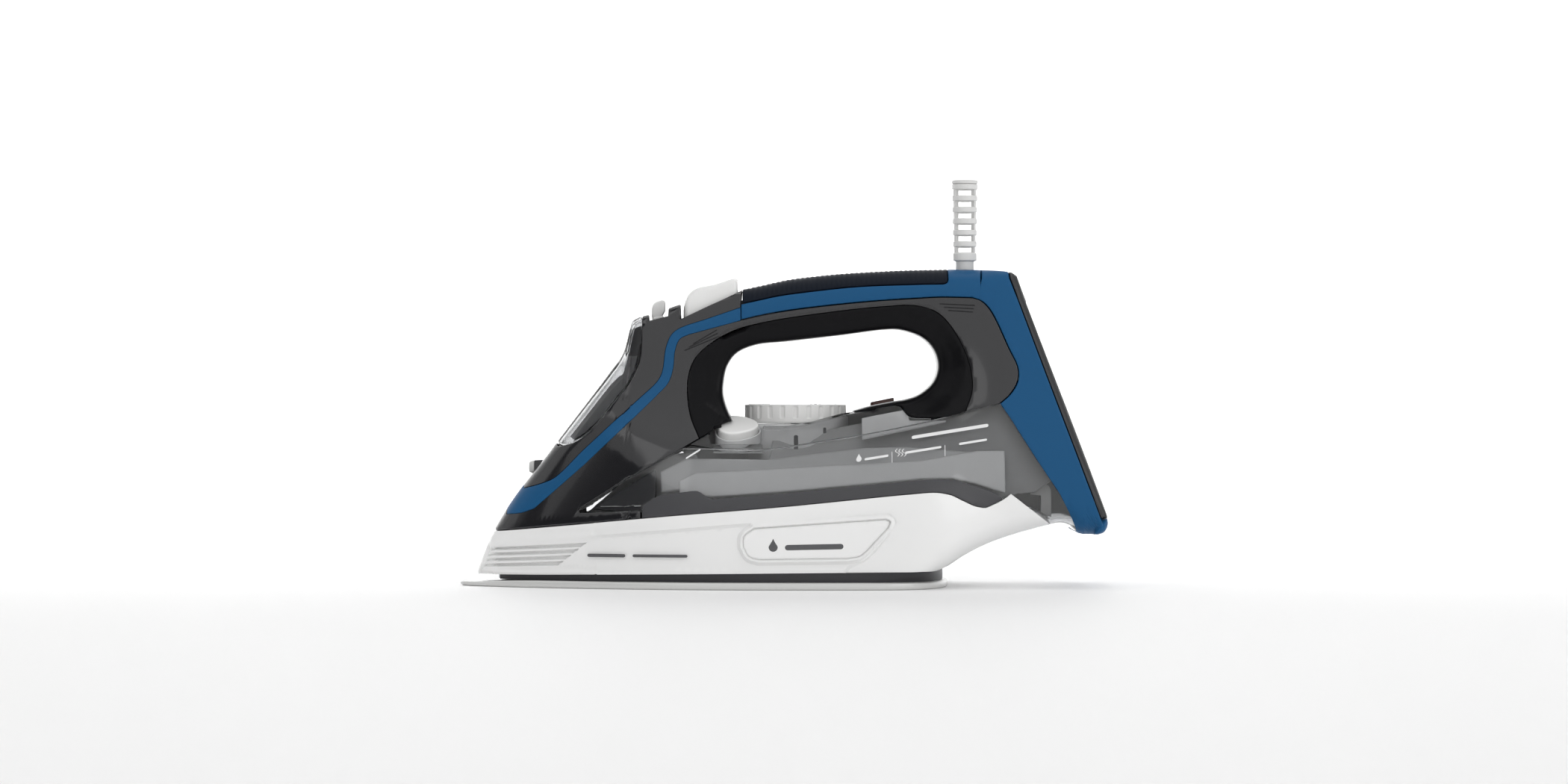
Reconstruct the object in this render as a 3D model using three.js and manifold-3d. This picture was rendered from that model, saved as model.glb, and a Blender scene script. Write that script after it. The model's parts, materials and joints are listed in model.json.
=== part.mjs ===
// Steam iron: nose at -X, heel at +X, standing on its soleplate at z = 0. Units are millimetres.
// Every outer casing is cut from one lofted body. Its side view is split along the seams between
// the casings, and its width comes from one formula, so that neighbouring casings stay flush.
import * as THREE from "three";
import { mergeVertices } from "three/addons/utils/BufferGeometryUtils.js";
import Module from "manifold-3d";

const wasm = await Module();
wasm.setup();

// ---------------------------------------------------------------- driving dimensions
const NOSE_X = -157.5; // tip of the soleplate; the heel ends at +157.5
const SOLE_END_X = 80.5;
const SOLE_HALF_WIDTH = 58;
const SOLE_THICK = 3.4;
const BODY_NOSE_X = -149.5;
const BODY_HALF_WIDTH = 53.5;
const BODY_END_X = 157.5;
const FULLEST_X = 10; // where soleplate and body are widest
const WALL = 2.4; // moulded casing wall
const GAP = 0.3; // assembly gap between neighbouring pieces
const FAR = 200; // outside everything

const DIAL_X = 6.2;
const DIAL_RADIUS = 24.9;
const DIAL_BOTTOM = 79.2;
const DIAL_TOP = 88.4;
const BOOT_X = 89;
const BALL_Z = 146.8;
const BALL_RADIUS = 6.2;
const LEVER_PIVOT_X = -47;
const PUMP_X = -37.5;
const BUTTON_Y = 7; // centre of each thumb button, either side of the middle
const BUTTON_FOOT_Z = 124;
const LEVER_ARM_Z = 116;
const NEEDLE_TIP_Z = 40;
const NEEDLE_TOP_Z = 118.2; // clears the thumb buttons when they are pressed and it is lifted
const SELF_CLEAN_AT = [-22.3, -21.4, 77.2];
const DOOR_HINGE = [-108.1, 70.1];
const DOOR_PIN_RADIUS = 0.8;
const REAR_TOP = [113.4, 151.2]; // the flat back runs from here ...
const REAR_FOOT = [157.5, 31]; // ... to here
const PLATE_THICK = 3.4; // back plate, square to the back

// ---------------------------------------------------------------- small maths
const clamp = (v, lo, hi) => Math.min(hi, Math.max(lo, v));
const mix = (a, b, t) => a + (b - a) * t;
const smoothstep = (a, b, v) => {
  const t = clamp((v - a) / (b - a), 0, 1);
  return t * t * (3 - 2 * t);
};

// The value of a table of [position, value] rows at a position, by straight lines.
function along(table, at) {
  if (at <= table[0][0]) return table[0][1];
  for (let i = 1; i < table.length; i++) {
    const [x0, v0] = table[i - 1];
    const [x1, v1] = table[i];
    if (at <= x1) return mix(v0, v1, (at - x0) / (x1 - x0));
  }
  return table[table.length - 1][1];
}

// The smaller of two values, with a rounded changeover k wide.
function softMin(a, b, k) {
  const h = clamp(0.5 + (0.5 * (b - a)) / k, 0, 1);
  return mix(b, a, h) - k * h * (1 - h);
}

// ---------------------------------------------------------------- the body's outer form
const TOP_LINE = [
  [-149.5, 6], [-146.5, 14], [-141, 27], [-112, 67.4], [-96, 88.2], [-84, 104.2], [-77.3, 114.2],
  [-74.6, 124], [-73, 129], [-49.6, 137.2], [-30, 141.8], [-10, 146.5], [5, 149.6], [36.5, 152.7],
  [66.5, 154], [82, 154.2], [99.6, 153.8], [110, 152.8], REAR_TOP, REAR_FOOT,
];
const BOTTOM_LINE = [
  [-150, 4], [60, 4], [74, 8.6], [79, 10.6], [87, 15.6], [99, 21.4], [117, 27.3], [129, 30.3],
  [136.5, 31.4], [140.5, 28.4], [143, 25.8], [157.5, 25.8],
];
const MID_WIDTH = [
  [8, 53.5], [30, 53], [40, 51.5], [50, 48], [60, 43], [70, 37], [78, 31], [86, 25.5], [95, 20.5],
  [105, 18], [120, 17.3], [140, 17], [155, 15.5],
];
const REAR_WIDTH = [[25, 41], [45, 40], [60, 38], [80, 33], [100, 28], [120, 24], [140, 20.5], [155, 18.5]];

// Half width of the plan of a boat-shaped piece, from its nose to where it is fullest.
const planHalf = (x, nose, half) =>
  half * Math.sin((Math.PI / 2) * clamp((x - nose) / (FULLEST_X - nose), 0, 1) ** 0.75);

function halfWidth(x, z) {
  const plan = planHalf(x - 0.45 * Math.max(z - 27, 0), BODY_NOSE_X, BODY_HALF_WIDTH);
  const section = mix(along(MID_WIDTH, z), along(REAR_WIDTH, z), smoothstep(60, 110, x));
  return softMin(plan, section, 6);
}

// Rounding of the upper edge: how far in it starts, sideways and downwards.
const edgeAcross = (x) => along([[-80, 7], [-73, 4], [-25, 4], [-10, 10], [90, 10], [112, 5]], x);
const edgeDown = (x) => along([[-80, 12], [-73, 4], [-25, 4], [-10, 10], [90, 10], [112, 14]], x);
const steepness = (line, x) => Math.hypot(1, (along(line, x + 1) - along(line, x - 1)) / 2);

// One side of the body's cross-section at x, from the bottom middle to the top middle, inset by t.
function halfSection(x, t) {
  const top = along(TOP_LINE, x) - t * steepness(TOP_LINE, x);
  const bottom = along(BOTTOM_LINE, x) + t * Math.min(steepness(BOTTOM_LINE, x), 1.5);
  const height = top - bottom;
  const width = (z) => Math.max(halfWidth(x, z) - 1.05 * t, 0.6);
  const down = Math.min(edgeDown(x), 0.4 * height);
  const across = Math.min(edgeAcross(x), 0.7 * width(top));
  const under = smoothstep(55, 80, x);
  const rise = Math.min(2 + 10 * under, 0.35 * height);
  const tuck = Math.min(1 + 15 * under, 0.6 * width(bottom));
  const points = [[0, bottom]];
  for (const a of [0.2, 1]) {
    const z = bottom + rise * (1 - Math.cos((a * Math.PI) / 2));
    points.push([width(z) - tuck * (1 - Math.sin((a * Math.PI) / 2)), z]);
  }
  const sides = 5;
  for (let i = 1; i < sides; i++) {
    const z = mix(bottom + rise, top - down, i / sides);
    points.push([width(z), z]);
  }
  for (const a of [0, 0.5, 0.9]) {
    const z = top - down * (1 - Math.sin((a * Math.PI) / 2));
    points.push([width(z) - across * (1 - Math.cos((a * Math.PI) / 2)), z]);
  }
  points.push([0, top]);
  return points;
}

// A closed solid through rings of equal length, given as arrays of Vector3.
function loft(rings) {
  const n = rings[0].length;
  const position = rings.flat().flatMap((p) => [p.x, p.y, p.z]);
  const index = [];
  for (let r = 0; r + 1 < rings.length; r++)
    for (let i = 0; i < n; i++) {
      const a = r * n + i;
      const b = r * n + ((i + 1) % n);
      index.push(a, b, a + n, b, b + n, a + n);
    }
  const cap = (first, flip) => {
    const ring = rings[first].map((p) => new THREE.Vector2(p.y, p.z));
    for (const [a, b, c] of THREE.ShapeUtils.triangulateShape(ring, [])) {
      const at = first * n;
      index.push(at + a, at + (flip ? c : b), at + (flip ? b : c));
    }
  };
  cap(0, true);
  cap(rings.length - 1, false);
  const geometry = new THREE.BufferGeometry();
  geometry.setAttribute("position", new THREE.Float32BufferAttribute(position, 3));
  geometry.setIndex(index);
  return geometry;
}

const STATIONS = [
  -146.5, -140, -129, -117, -105, -94, -84, -77.3, -73.5, -58, -45, -28, -8, 12, 38, 62, 76, 88,
  99, 108, 113.4, 124, 134, 142.5,
];

// The whole body inset by t, as a solid.
function body(t) {
  const stations = [BODY_NOSE_X + 2.6 * t, ...STATIONS, BODY_END_X - 0.2 - 0.8 * t];
  const rings = [];
  for (const x of stations) {
    const half = halfSection(x, t);
    const tall = half[half.length - 1][1] - half[0][1];
    if (tall < 3.5 || halfWidth(x, half[0][1] + 2) - 1.05 * t < 1.2 || x < BODY_NOSE_X + 2.6 * t) continue;
    const right = half.map(([y, z]) => new THREE.Vector3(x, y, z));
    const left = half.slice(1, -1).reverse().map(([y, z]) => new THREE.Vector3(x, -y, z));
    rings.push([...right, ...left]);
  }
  return solid(loft(rings));
}

// ---------------------------------------------------------------- solids and their cutting
function solid(geometry) {
  const loose = geometry.index ? geometry.toNonIndexed() : geometry;
  const bare = new THREE.BufferGeometry();
  bare.setAttribute("position", loose.getAttribute("position"));
  const merged = mergeVertices(bare, 1e-4);
  return new wasm.Manifold(
    new wasm.Mesh({
      numProp: 3,
      vertProperties: merged.attributes.position.array,
      triVerts: new Uint32Array(merged.index.array),
    }),
  );
}

function geometryOf(made) {
  const mesh = made.getMesh();
  const geometry = new THREE.BufferGeometry();
  geometry.setAttribute("position", new THREE.BufferAttribute(mesh.vertProperties, 3));
  geometry.setIndex(new THREE.BufferAttribute(mesh.triVerts, 1));
  geometry.computeVertexNormals();
  return geometry;
}

// An outline from a start point and pieces: [x, z] is a straight run to there, and
// { through: [...] } a smooth curve through those points.
function outline(start, ...pieces) {
  const path = new THREE.Path().moveTo(...start);
  for (const piece of pieces)
    if (piece.through) path.splineThru(piece.through.map(([x, z]) => new THREE.Vector2(x, z)));
    else path.lineTo(...piece);
  return path.getPoints(2);
}

// An outline moved outwards by d (inwards if d is negative).
function grown(points, d) {
  const turn = THREE.ShapeUtils.isClockWise(points) ? -1 : 1;
  const clean = points.filter((p, i) => p.distanceTo(points[(i + 1) % points.length]) > 1e-3);
  return clean.map((p, i) => {
    const before = p.clone().sub(clean[(i + clean.length - 1) % clean.length]).normalize();
    const after = clean[(i + 1) % clean.length].clone().sub(p).normalize();
    const normal = new THREE.Vector2(before.y + after.y, -before.x - after.x).normalize();
    const share = Math.max(0.35, normal.dot(new THREE.Vector2(after.y, -after.x)));
    return p.clone().addScaledVector(normal, (turn * d) / share);
  });
}

// A side-view outline as a slab across the iron, from y0 to y1.
function prism(points, y0 = -FAR, y1 = FAR) {
  const shape = new THREE.Shape(points.map((p) => new THREE.Vector2(p.x ?? p[0], p.y ?? p[1])));
  const geometry = new THREE.ExtrudeGeometry(shape, { depth: y1 - y0, bevelEnabled: false });
  return solid(geometry.rotateX(Math.PI / 2).translate(0, y1, 0));
}

// A plan outline as a slab from z0 to z1.
function slab(shape, z0, z1) {
  const plan = shape instanceof THREE.Shape ? shape : new THREE.Shape(shape);
  const geometry = new THREE.ExtrudeGeometry(plan, { depth: z1 - z0, bevelEnabled: false, curveSegments: 4 });
  return solid(geometry.translate(0, 0, z0));
}

function box(x0, x1, y0, y1, z0, z1) {
  const geometry = new THREE.BoxGeometry(x1 - x0, y1 - y0, z1 - z0);
  return solid(geometry.translate((x0 + x1) / 2, (y0 + y1) / 2, (z0 + z1) / 2));
}

// An upright turned solid from a profile of [radius, height] rows that starts and ends on the axis.
function turned(profile, x, y, segments = 20) {
  const points = profile.map(([r, z]) => new THREE.Vector2(r, z));
  return solid(new THREE.LatheGeometry(points, segments).rotateX(Math.PI / 2).translate(x, y, 0));
}

// An upright rod.
const rod = (r, z0, z1, x, y = 0, segments = 16) =>
  turned([[0, z0], [r, z0], [r, z1], [0, z1]], x, y, segments);

// A rod across the iron, reaching half its length to each side.
function crossRod(r, half, [x, z], segments = 12) {
  return solid(new THREE.CylinderGeometry(r, r, 2 * half, segments).translate(x, 0, z));
}

// A round wire or pipe along a curve.
function pipe(curve, radius, steps, sides = 8) {
  const ring = new THREE.Shape();
  for (let i = 0; i < sides; i++) {
    const a = (i / sides) * 2 * Math.PI;
    if (i === 0) ring.moveTo(radius, 0);
    else ring.lineTo(radius * Math.cos(a), radius * Math.sin(a));
  }
  return solid(new THREE.ExtrudeGeometry(ring, { steps, extrudePath: curve, bevelEnabled: false }));
}

class Helix extends THREE.Curve {
  constructor(x, y, z0, z1, radius, turns) {
    super();
    Object.assign(this, { x, y, z0, z1, radius, turns });
  }
  getPoint(t, target = new THREE.Vector3()) {
    const a = t * this.turns * 2 * Math.PI;
    return target.set(
      this.x + this.radius * Math.cos(a),
      this.y + this.radius * Math.sin(a),
      mix(this.z0, this.z1, t),
    );
  }
}

// ---------------------------------------------------------------- seams in the side view
const SKIRT_TOP = [
  [-FAR, 22.2], [-141, 27.2], [-104, 30.5], [-52, 35.4], [4, 40.1], [28, 42.5], [66, 46.2],
];
const SKIRT_TAIL = {
  through: [
    [72.6, 46.6], [79.7, 45.6], [86.8, 42.4], [92.8, 39.8], [96.9, 39.1], [100.5, 40.4], [106.5, 43.5],
    [109.5, 45.9],
  ],
};
const belowSkirtTop = outline(
  ...SKIRT_TOP, SKIRT_TAIL, [129, 30.3], [134, 26.5], [134, -FAR], [-FAR, -FAR],
);

const belowBandTop = outline(
  [-67.6, 20], [-67.6, 37.9], [-66, 40.5], [-60, 45], [-43, 47.4], [-39.4, 47.1], [-34, 43.4],
  [4.2, 46.5], [27.7, 48.9], [66, 52.6],
  { through: [[72.7, 53], [82.2, 52.4], [92.9, 49.4], [101.2, 46.5], [105, 44.2]] }, [105, 20],
);

const windowRegion = outline(
  [-98.1, 37.6], [-76.1, 51.6], [-48.6, 67.1], [-31.5, 66.9], [-8.4, 66.6], [47.4, 75.2], [72, 80.3],
  [77.5, 81.7], [94.8, 86.3], [104.2, 88.6], [109, 82.2], [122.4, 60.8], [132.7, 45.3], [138.1, 34.3],
  [140.6, 28.3], [141.4, 22], [105, 22], [-65.6, 34], [-65.6, 38.2], [-96.9, 37],
);

const coverRegion = outline(
  [-47.5, 67.5], [-34.9, 75.1], [-32.9, 77.8], [-20, 78.1], [0, 77.9], [11, 79.4], [30.3, 84.2],
  [42.5, 86], [54, 88], [58.3, 86.3], [60.9, 82.8], [71.7, 81.9], [71.7, 80.6], [47.4, 75.5],
  [-8.4, 66.9], [-31.5, 67.2],
);

const DOOR_SEAM = {
  through: [
    [-102, 70], [-96.4, 73.2], [-89.5, 79.6], [-75.6, 97.2], [-72, 103.1], [-69.3, 110], [-68.5, 116],
  ],
};
const doorFoot = {
  through: [[-109.4, 68.8], [-108.1, 68.3], [-106.8, 68.8]], // round about the hinge
};
const doorRegion = outline(
  [-FAR, 70.1], [-109.9, 70.1], doorFoot, DOOR_SEAM, [-68.5, 129.4], [-76, 126.6], [-FAR, 126.6],
);

const openingCurve = {
  through: [
    [53.6, 90.1], [60, 91.2], [66.4, 93.6], [72.8, 99.3], [75.2, 106.3], [73.5, 114.4], [67.8, 120.8],
    [57.3, 124.8], [50.4, 124.8],
  ],
};
const openingFront = {
  through: [
    [1.7, 119], [-13.3, 117.3], [-22.6, 113.2], [-27.8, 105.1], [-28.9, 97], [-27.2, 87.8], [-23.8, 83.4],
  ],
};
const heelSeam = {
  through: [
    [92, 140.1], [95.9, 138.7], [100.3, 134.3], [109, 116], [113.4, 106.1], [113, 99.4], [109.4, 93.4],
    [104.4, 88.9],
  ],
};
const HANDLE_SEAM = [
  [-20.3, 129.3], [-10.2, 131.6], [4.7, 134.2], [39.7, 138.1], [66.1, 139.9], [76.6, 140.4],
];

const housingRegion = outline(
  [-FAR, 20], [-FAR, 68.3], [-109.3, 68.3], DOOR_SEAM, [-68.5, 130.4],
  [-64.9, 131.9], [-64.9, 129.4], [-55.8, 131.5], [-55.8, 134.6], [-49.6, 136.9], [-49.3, 130.1],
  [-19.6, 144.3], [-20.3, 136.8], ...HANDLE_SEAM, heelSeam,
  [94.8, 86.6], [78.1, 82.5], [61.3, 83.1], [58.7, 86.7], [54, 88.3], [42.5, 86.3], [34.5, 84.9],
  [34.2, 85.9], [42, 87.8], openingCurve, [27.2, 121.9], openingFront, [-24, 80], [-31, 78.3],
  [-33.2, 78.1], [-35.1, 75.4], [-48.7, 67.4], [-76.2, 51.9], [-98.6, 37.9], [-97.6, 36.4],
  [-68.2, 37.6], [-68.2, 20],
);

const handleCoverRegion = outline(
  [-20, 129.7], [-10.2, 131.9], [4.7, 134.5], [39.7, 138.4], [66.1, 140.2], [76.6, 141], [92, 140.9],
  [96, 139.6], [96, FAR], [-19.3, FAR], [-19.3, 144], [-17.6, 140.8], [-20, 136.8],
);
const gripRegion = outline(
  [-16, 138.2], [-1.5, 141.2], [13.4, 143.2], [36.3, 145.6], [66.1, 146.7], [79, 147], [80, FAR],
  [-17, FAR],
);
const heelCoverRegion = outline(
  [96.3, FAR], [96.3, 138.9],
  { through: [[100.6, 134.5], [109.3, 116.2], [113.7, 106.2], [113.3, 99.3], [109.7, 93.2], [104.8, 88.8]] },
  [109.3, 82.4], [122.7, 61], [133, 45.5], [138.4, 34.5], [140.9, 28.4], [141.8, 20], [FAR, 20],
  [FAR, FAR],
);

const stripeRegion = outline(
  [-FAR, 32], [-134.2, 35], [-120.5, 38], [-110.1, 46.9], [-61.6, 92.1],
  { through: [[-55.3, 99.1], [-53, 106.2], [-52.2, 114.1], [-49.9, 120]] }, [-45.7, 122.2], [-27.2, 127.2],
  [-20.8, 129], [-20.8, 135.6], [-36.5, 130.2], [-50.3, 125.4],
  { through: [[-54.2, 122.2], [-56.9, 115.6], [-58.5, 104.6], [-60.8, 99.9]] }, [-69.4, 92.1], [-97, 66.1],
  [-110.3, 53.4], [-117.6, 50.3], [-125.6, 48], [-FAR, 46],
);

// ---------------------------------------------------------------- assembly helpers
const iron = new THREE.Group();

const finish = (color, roughness, metalness = 0, opacity = 1) =>
  new THREE.MeshStandardMaterial({ color, roughness, metalness, opacity, transparent: opacity < 1 });
const BLACK = finish(0x141416, 0.15);
const BLUE = finish(0x1f5587, 0.35);
const DARK = finish(0x3a3a3c, 0.5);
const WHITE = finish(0xf1f1f0, 0.3);
const PALE = finish(0xd6d6d4, 0.4);
const SMOKE = finish(0x6b6d70, 0.1, 0, 0.4);
const FROST = finish(0xb4b6b8, 0.3, 0, 0.6);
const ALUMINIUM = finish(0xb0b2b5, 0.4, 0.9);
const CERAMIC = finish(0xc9c9c6, 0.35, 0.2);
const STEEL = finish(0x9a9ca0, 0.3, 1);
const BRASS = finish(0xb08d48, 0.35, 1);
const RUBBER = finish(0x1b1b1d, 0.8);

// A group for a moving part, with its own origin at the point it turns about or slides from.
function movingGroup(x, y, z) {
  const group = new THREE.Group();
  group.position.set(x, y, z);
  iron.add(group);
  return group;
}

const dialGroup = movingGroup(DIAL_X, 0, DIAL_BOTTOM);
const leverGroup = movingGroup(LEVER_PIVOT_X, 0, LEVER_ARM_Z);
const needleGroup = movingGroup(LEVER_PIVOT_X, 0, NEEDLE_TIP_Z);
const sprayGroup = movingGroup(PUMP_X, -BUTTON_Y, BUTTON_FOOT_Z);
const steamGroup = movingGroup(PUMP_X, BUTTON_Y, BUTTON_FOOT_Z);
const selfCleanGroup = movingGroup(...SELF_CLEAN_AT);
const doorGroup = movingGroup(DOOR_HINGE[0], 0, DOOR_HINGE[1]);
const cordGroup = movingGroup(BOOT_X, 0, BALL_Z);

// Names a finished solid and hangs it in a group, given in the iron's own frame.
function add(name, made, material, group = iron) {
  const mesh = new THREE.Mesh(geometryOf(made), material.clone());
  mesh.geometry.translate(...group.position.clone().negate());
  mesh.name = name;
  group.add(mesh);
}

const bodyOut = body(0);
const bodyIn = body(WALL);
// The part of a side-view region that lies in the outer wall of the body, t thick.
const skin = (region, t, inner) => prism(region).intersect(bodyOut).subtract(inner ?? body(t));
const lifted = (region, d) => prism(grown(region, d));

// ---------------------------------------------------------------- soleplate and heater
// The plan outline of the soleplate, moved inwards by inset, and at its rear end by rearInset.
function solePlan(inset, rearInset = inset) {
  const nose = NOSE_X + 1.5 * inset;
  const half = SOLE_HALF_WIDTH - inset;
  const end = SOLE_END_X - rearInset;
  const right = [];
  const steps = 15;
  for (let i = 0; i <= steps; i++) {
    const x = mix(nose, FULLEST_X, (i / steps) ** 1.5);
    right.push([x, planHalf(x, nose, half)]);
  }
  const rear = 7;
  for (let i = 1; i <= rear; i++) {
    const u = Math.sin((i / rear) * (Math.PI / 2)) ** 0.8;
    right.push([mix(FULLEST_X, end, u), half * (1 - u ** 5) ** 0.45]);
  }
  const left = right.slice(1, -1).reverse().map(([x, y]) => [x, -y]);
  return [...right, ...left].reverse().map(([x, y]) => new THREE.Vector2(x, y));
}

const STEAM_HOLES = [[-128, 9], [-112, 18], [-94, 26], [-75, 32], [-55, 36], [-34, 38], [-13, 38]];

function makeSole() {
  const plan = new THREE.Shape(solePlan(0));
  const pairs = STEAM_HOLES.flatMap(([x, y]) => [[x, y], [x, -y]]);
  for (const [x, y] of [[-142, 0], ...pairs]) {
    const hole = new THREE.Path();
    hole.absarc(x, y, 1.6, 0, 2 * Math.PI);
    plan.holes.push(hole);
  }
  add("sole_face", slab(plan, 0, SOLE_THICK), CERAMIC);
}

const CASTING_TOP = 20;
const COLLAR_FRONT_X = -139.6;
const COLLAR_REAR = 2.8;      // how far the collar stops short of the soleplate's rear end ...
const COLLAR_REAR_TOP = 8.1;  // ... and its height there, below the skirt's tail
const ELEMENT_Z = 14;

function elementPath() {
  const points = [];
  const rows = [[70.5, 24], [50, 33], [10, 36], [-30, 32], [-70, 22], [-98, 11]];
  for (const [x, y] of rows) points.push(new THREE.Vector3(x, y, ELEMENT_Z));
  points.push(new THREE.Vector3(-108, 0, ELEMENT_Z));
  for (const [x, y] of rows.reverse()) points.push(new THREE.Vector3(x, -y, ELEMENT_Z));
  return new THREE.CatmullRomCurve3(points);
}

function makeHeater() {
  const front = box(COLLAR_FRONT_X, FAR, -FAR, FAR, 0, FAR);
  const low = SOLE_THICK + GAP;
  const collar = slab(solePlan(9.2), low, 9).add(slab(solePlan(9.2, COLLAR_REAR), low, COLLAR_REAR_TOP))
    .subtract(slab(solePlan(12.2), 0, 12));
  add("sole_collar", collar.intersect(front), DARK);
  const element = elementPath();
  const casting = slab(solePlan(12.6), low, CASTING_TOP)
    .subtract(slab(solePlan(29), 8, 40))
    .subtract(pipe(element, 3.9, 22, 6))
    .intersect(front);
  add("heater_casting", casting, ALUMINIUM);
  add("heating_element", pipe(element, 3.2, 22, 6), STEEL);
  const lid = slab(solePlan(22), CASTING_TOP + GAP, CASTING_TOP + 1.8)
    .subtract(rod(3, 10, 30, LEVER_PIVOT_X));
  add("steam_chamber_cover", lid, ALUMINIUM);
  const top = CASTING_TOP + 2.1;
  const post = rod(4, top + 7, top + 11, DIAL_X);
  add("thermostat", box(DIAL_X - 9, DIAL_X + 11, -7, 7, top, top + 8).add(post), BRASS);
  add("thermal_fuse", crossRod(2.4, 9, [38, top + 2.5], 10), PALE);
}

// ---------------------------------------------------------------- skirt, band and tank
const BADGE = outline(
  [-18.7, 20], { through: [[-18.2, 26], [-13.7, 29.3]] },
  [49.4, 33.6], { through: [[51.3, 32.4], [50, 29.5]] },
  [39.4, 18.3], { through: [[35.9, 16], [31.1, 15]] },
  [-11.4, 14.4], { through: [[-16.1, 16], [-18.7, 20]] },
);
const LOUVRES = 4;
const LOUVRE_PITCH = 3;

function makeSkirt() {
  const under = prism(outline([-FAR, 4.6], [51, 8.2], [150, 8.4], [150, -FAR], [-FAR, -FAR]));
  const hollow = bodyIn.add(slab(solePlan(8.4), 0, 12));
  let skirt = prism(belowSkirtTop).intersect(bodyOut).subtract(hollow).subtract(under);
  for (let i = 0; i < LOUVRES; i++) {
    const z = 20.6 - LOUVRE_PITCH * i;
    const x = -97 - 3.6 * i;
    const front = z - 3.2 + 0.3 * i;
    const rib = outline([-FAR, front], [x - 1, z - 0.6], [x + 3, z + 1.9], [x, z + 1.5], [-FAR, front + 1.4]);
    skirt = skirt.subtract(prism(rib).subtract(body(1.1)));
  }
  for (const side of [-1, 1]) {
    const half = side < 0 ? box(-FAR, FAR, -FAR, 0, -FAR, FAR) : box(-FAR, FAR, 0, FAR, -FAR, FAR);
    const seat = prism(grown(BADGE, 0.25)).subtract(body(1.3)).intersect(half);
    skirt = skirt.subtract(seat);
    const plate = prism(BADGE).intersect(bodyOut).subtract(body(1)).intersect(half);
    add(side < 0 ? "badge_plate_left" : "badge_plate_right", plate, WHITE);
  }
  add("skirt", skirt, WHITE);
}

const underSkirt = lifted(belowSkirtTop, GAP);

function makeTank() {
  const spindleWell = rod(5, 0, 80, DIAL_X);
  const needleWell = rod(3.4, 0, 80, LEVER_PIVOT_X);
  const band = skin(belowBandTop, WALL, bodyIn).add(
    prism(outline([-66, 36.6], [66, 48.4], [66, 50.4], [-66, 38.6])).intersect(body(WALL - 0.2)),
  );
  add("tank_base", band.subtract(underSkirt).subtract(spindleWell).subtract(needleWell), DARK);

  const underBand = lifted(belowBandTop, GAP);
  const shell = skin(windowRegion, WALL, bodyIn);
  add("tank_window", shell.subtract(underBand).subtract(underSkirt), SMOKE);

  const cover = prism(coverRegion).intersect(bodyOut);
  const inner = prism(outline(
    [-45, 60], [-31, 74.6], [0, 75.4], [30, 81.6], [54, 85.4], [57, 80], [66, 78.4], [66, 60],
  ));
  const seat = rod(27.6, 76.2, FAR, DIAL_X, 0, 32).intersect(cover);
  const dialWell = rod(DIAL_RADIUS + 0.7, DIAL_BOTTOM - 0.5, FAR, DIAL_X, 0, 32);
  const tankCover = cover.subtract(inner.intersect(bodyIn)).add(seat).subtract(dialWell)
    .subtract(rod(3.6, 0, FAR, DIAL_X)).subtract(needleWell)
    .subtract(selfCleanCap(1.9, -9, 30));
  add("tank_cover", tankCover, SMOKE);

  const region = outline(
    [-60, 46.6], [-60, 57.6], [-46, 65.6], [-31, 65.4], [-8, 65], [40, 71], [60, 71.5], [98, 67.1],
    [106.7, 67.3], [107.6, 50.2], [92.9, 51.2], [82.2, 54.2], [66, 54.4], [27.7, 50.6], [4.2, 48.2],
    [-34, 45], [-38, 48.9], [-44, 49.2],
  );
  const open = prism(outline(
    [-57.6, 50.5], [-57.6, FAR], [96, FAR], [96, 58], [60, 57], [20, 52.6], [-33, 48], [-40, 52],
  ));
  const tank = prism(region).intersect(body(5)).subtract(open.intersect(body(7)));
  const column = rod(26.6, 50, 80, DIAL_X, 0, 24);
  const well = rod(7, 44, 66, DIAL_X).intersect(prism(region)).subtract(rod(5, 0, FAR, DIAL_X));
  const needleHole = rod(2.2, 0, FAR, LEVER_PIVOT_X);
  add("water_tank", tank.subtract(spindleWell).subtract(needleHole).add(well), FROST);

  const tube = column.subtract(rod(24.2, 0, FAR, DIAL_X, 0, 24))
    .intersect(box(-FAR, FAR, -FAR, FAR, 66.8, 74.2)).intersect(body(3.2))
    .subtract(box(5, 8.2, -FAR, 0, 60, 72)).subtract(box(17, 19, -FAR, 0, 60, 74))
    .subtract(selfCleanCap(2.4, -12, 30));
  add("dial_column", tube, FROST);
}

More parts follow.
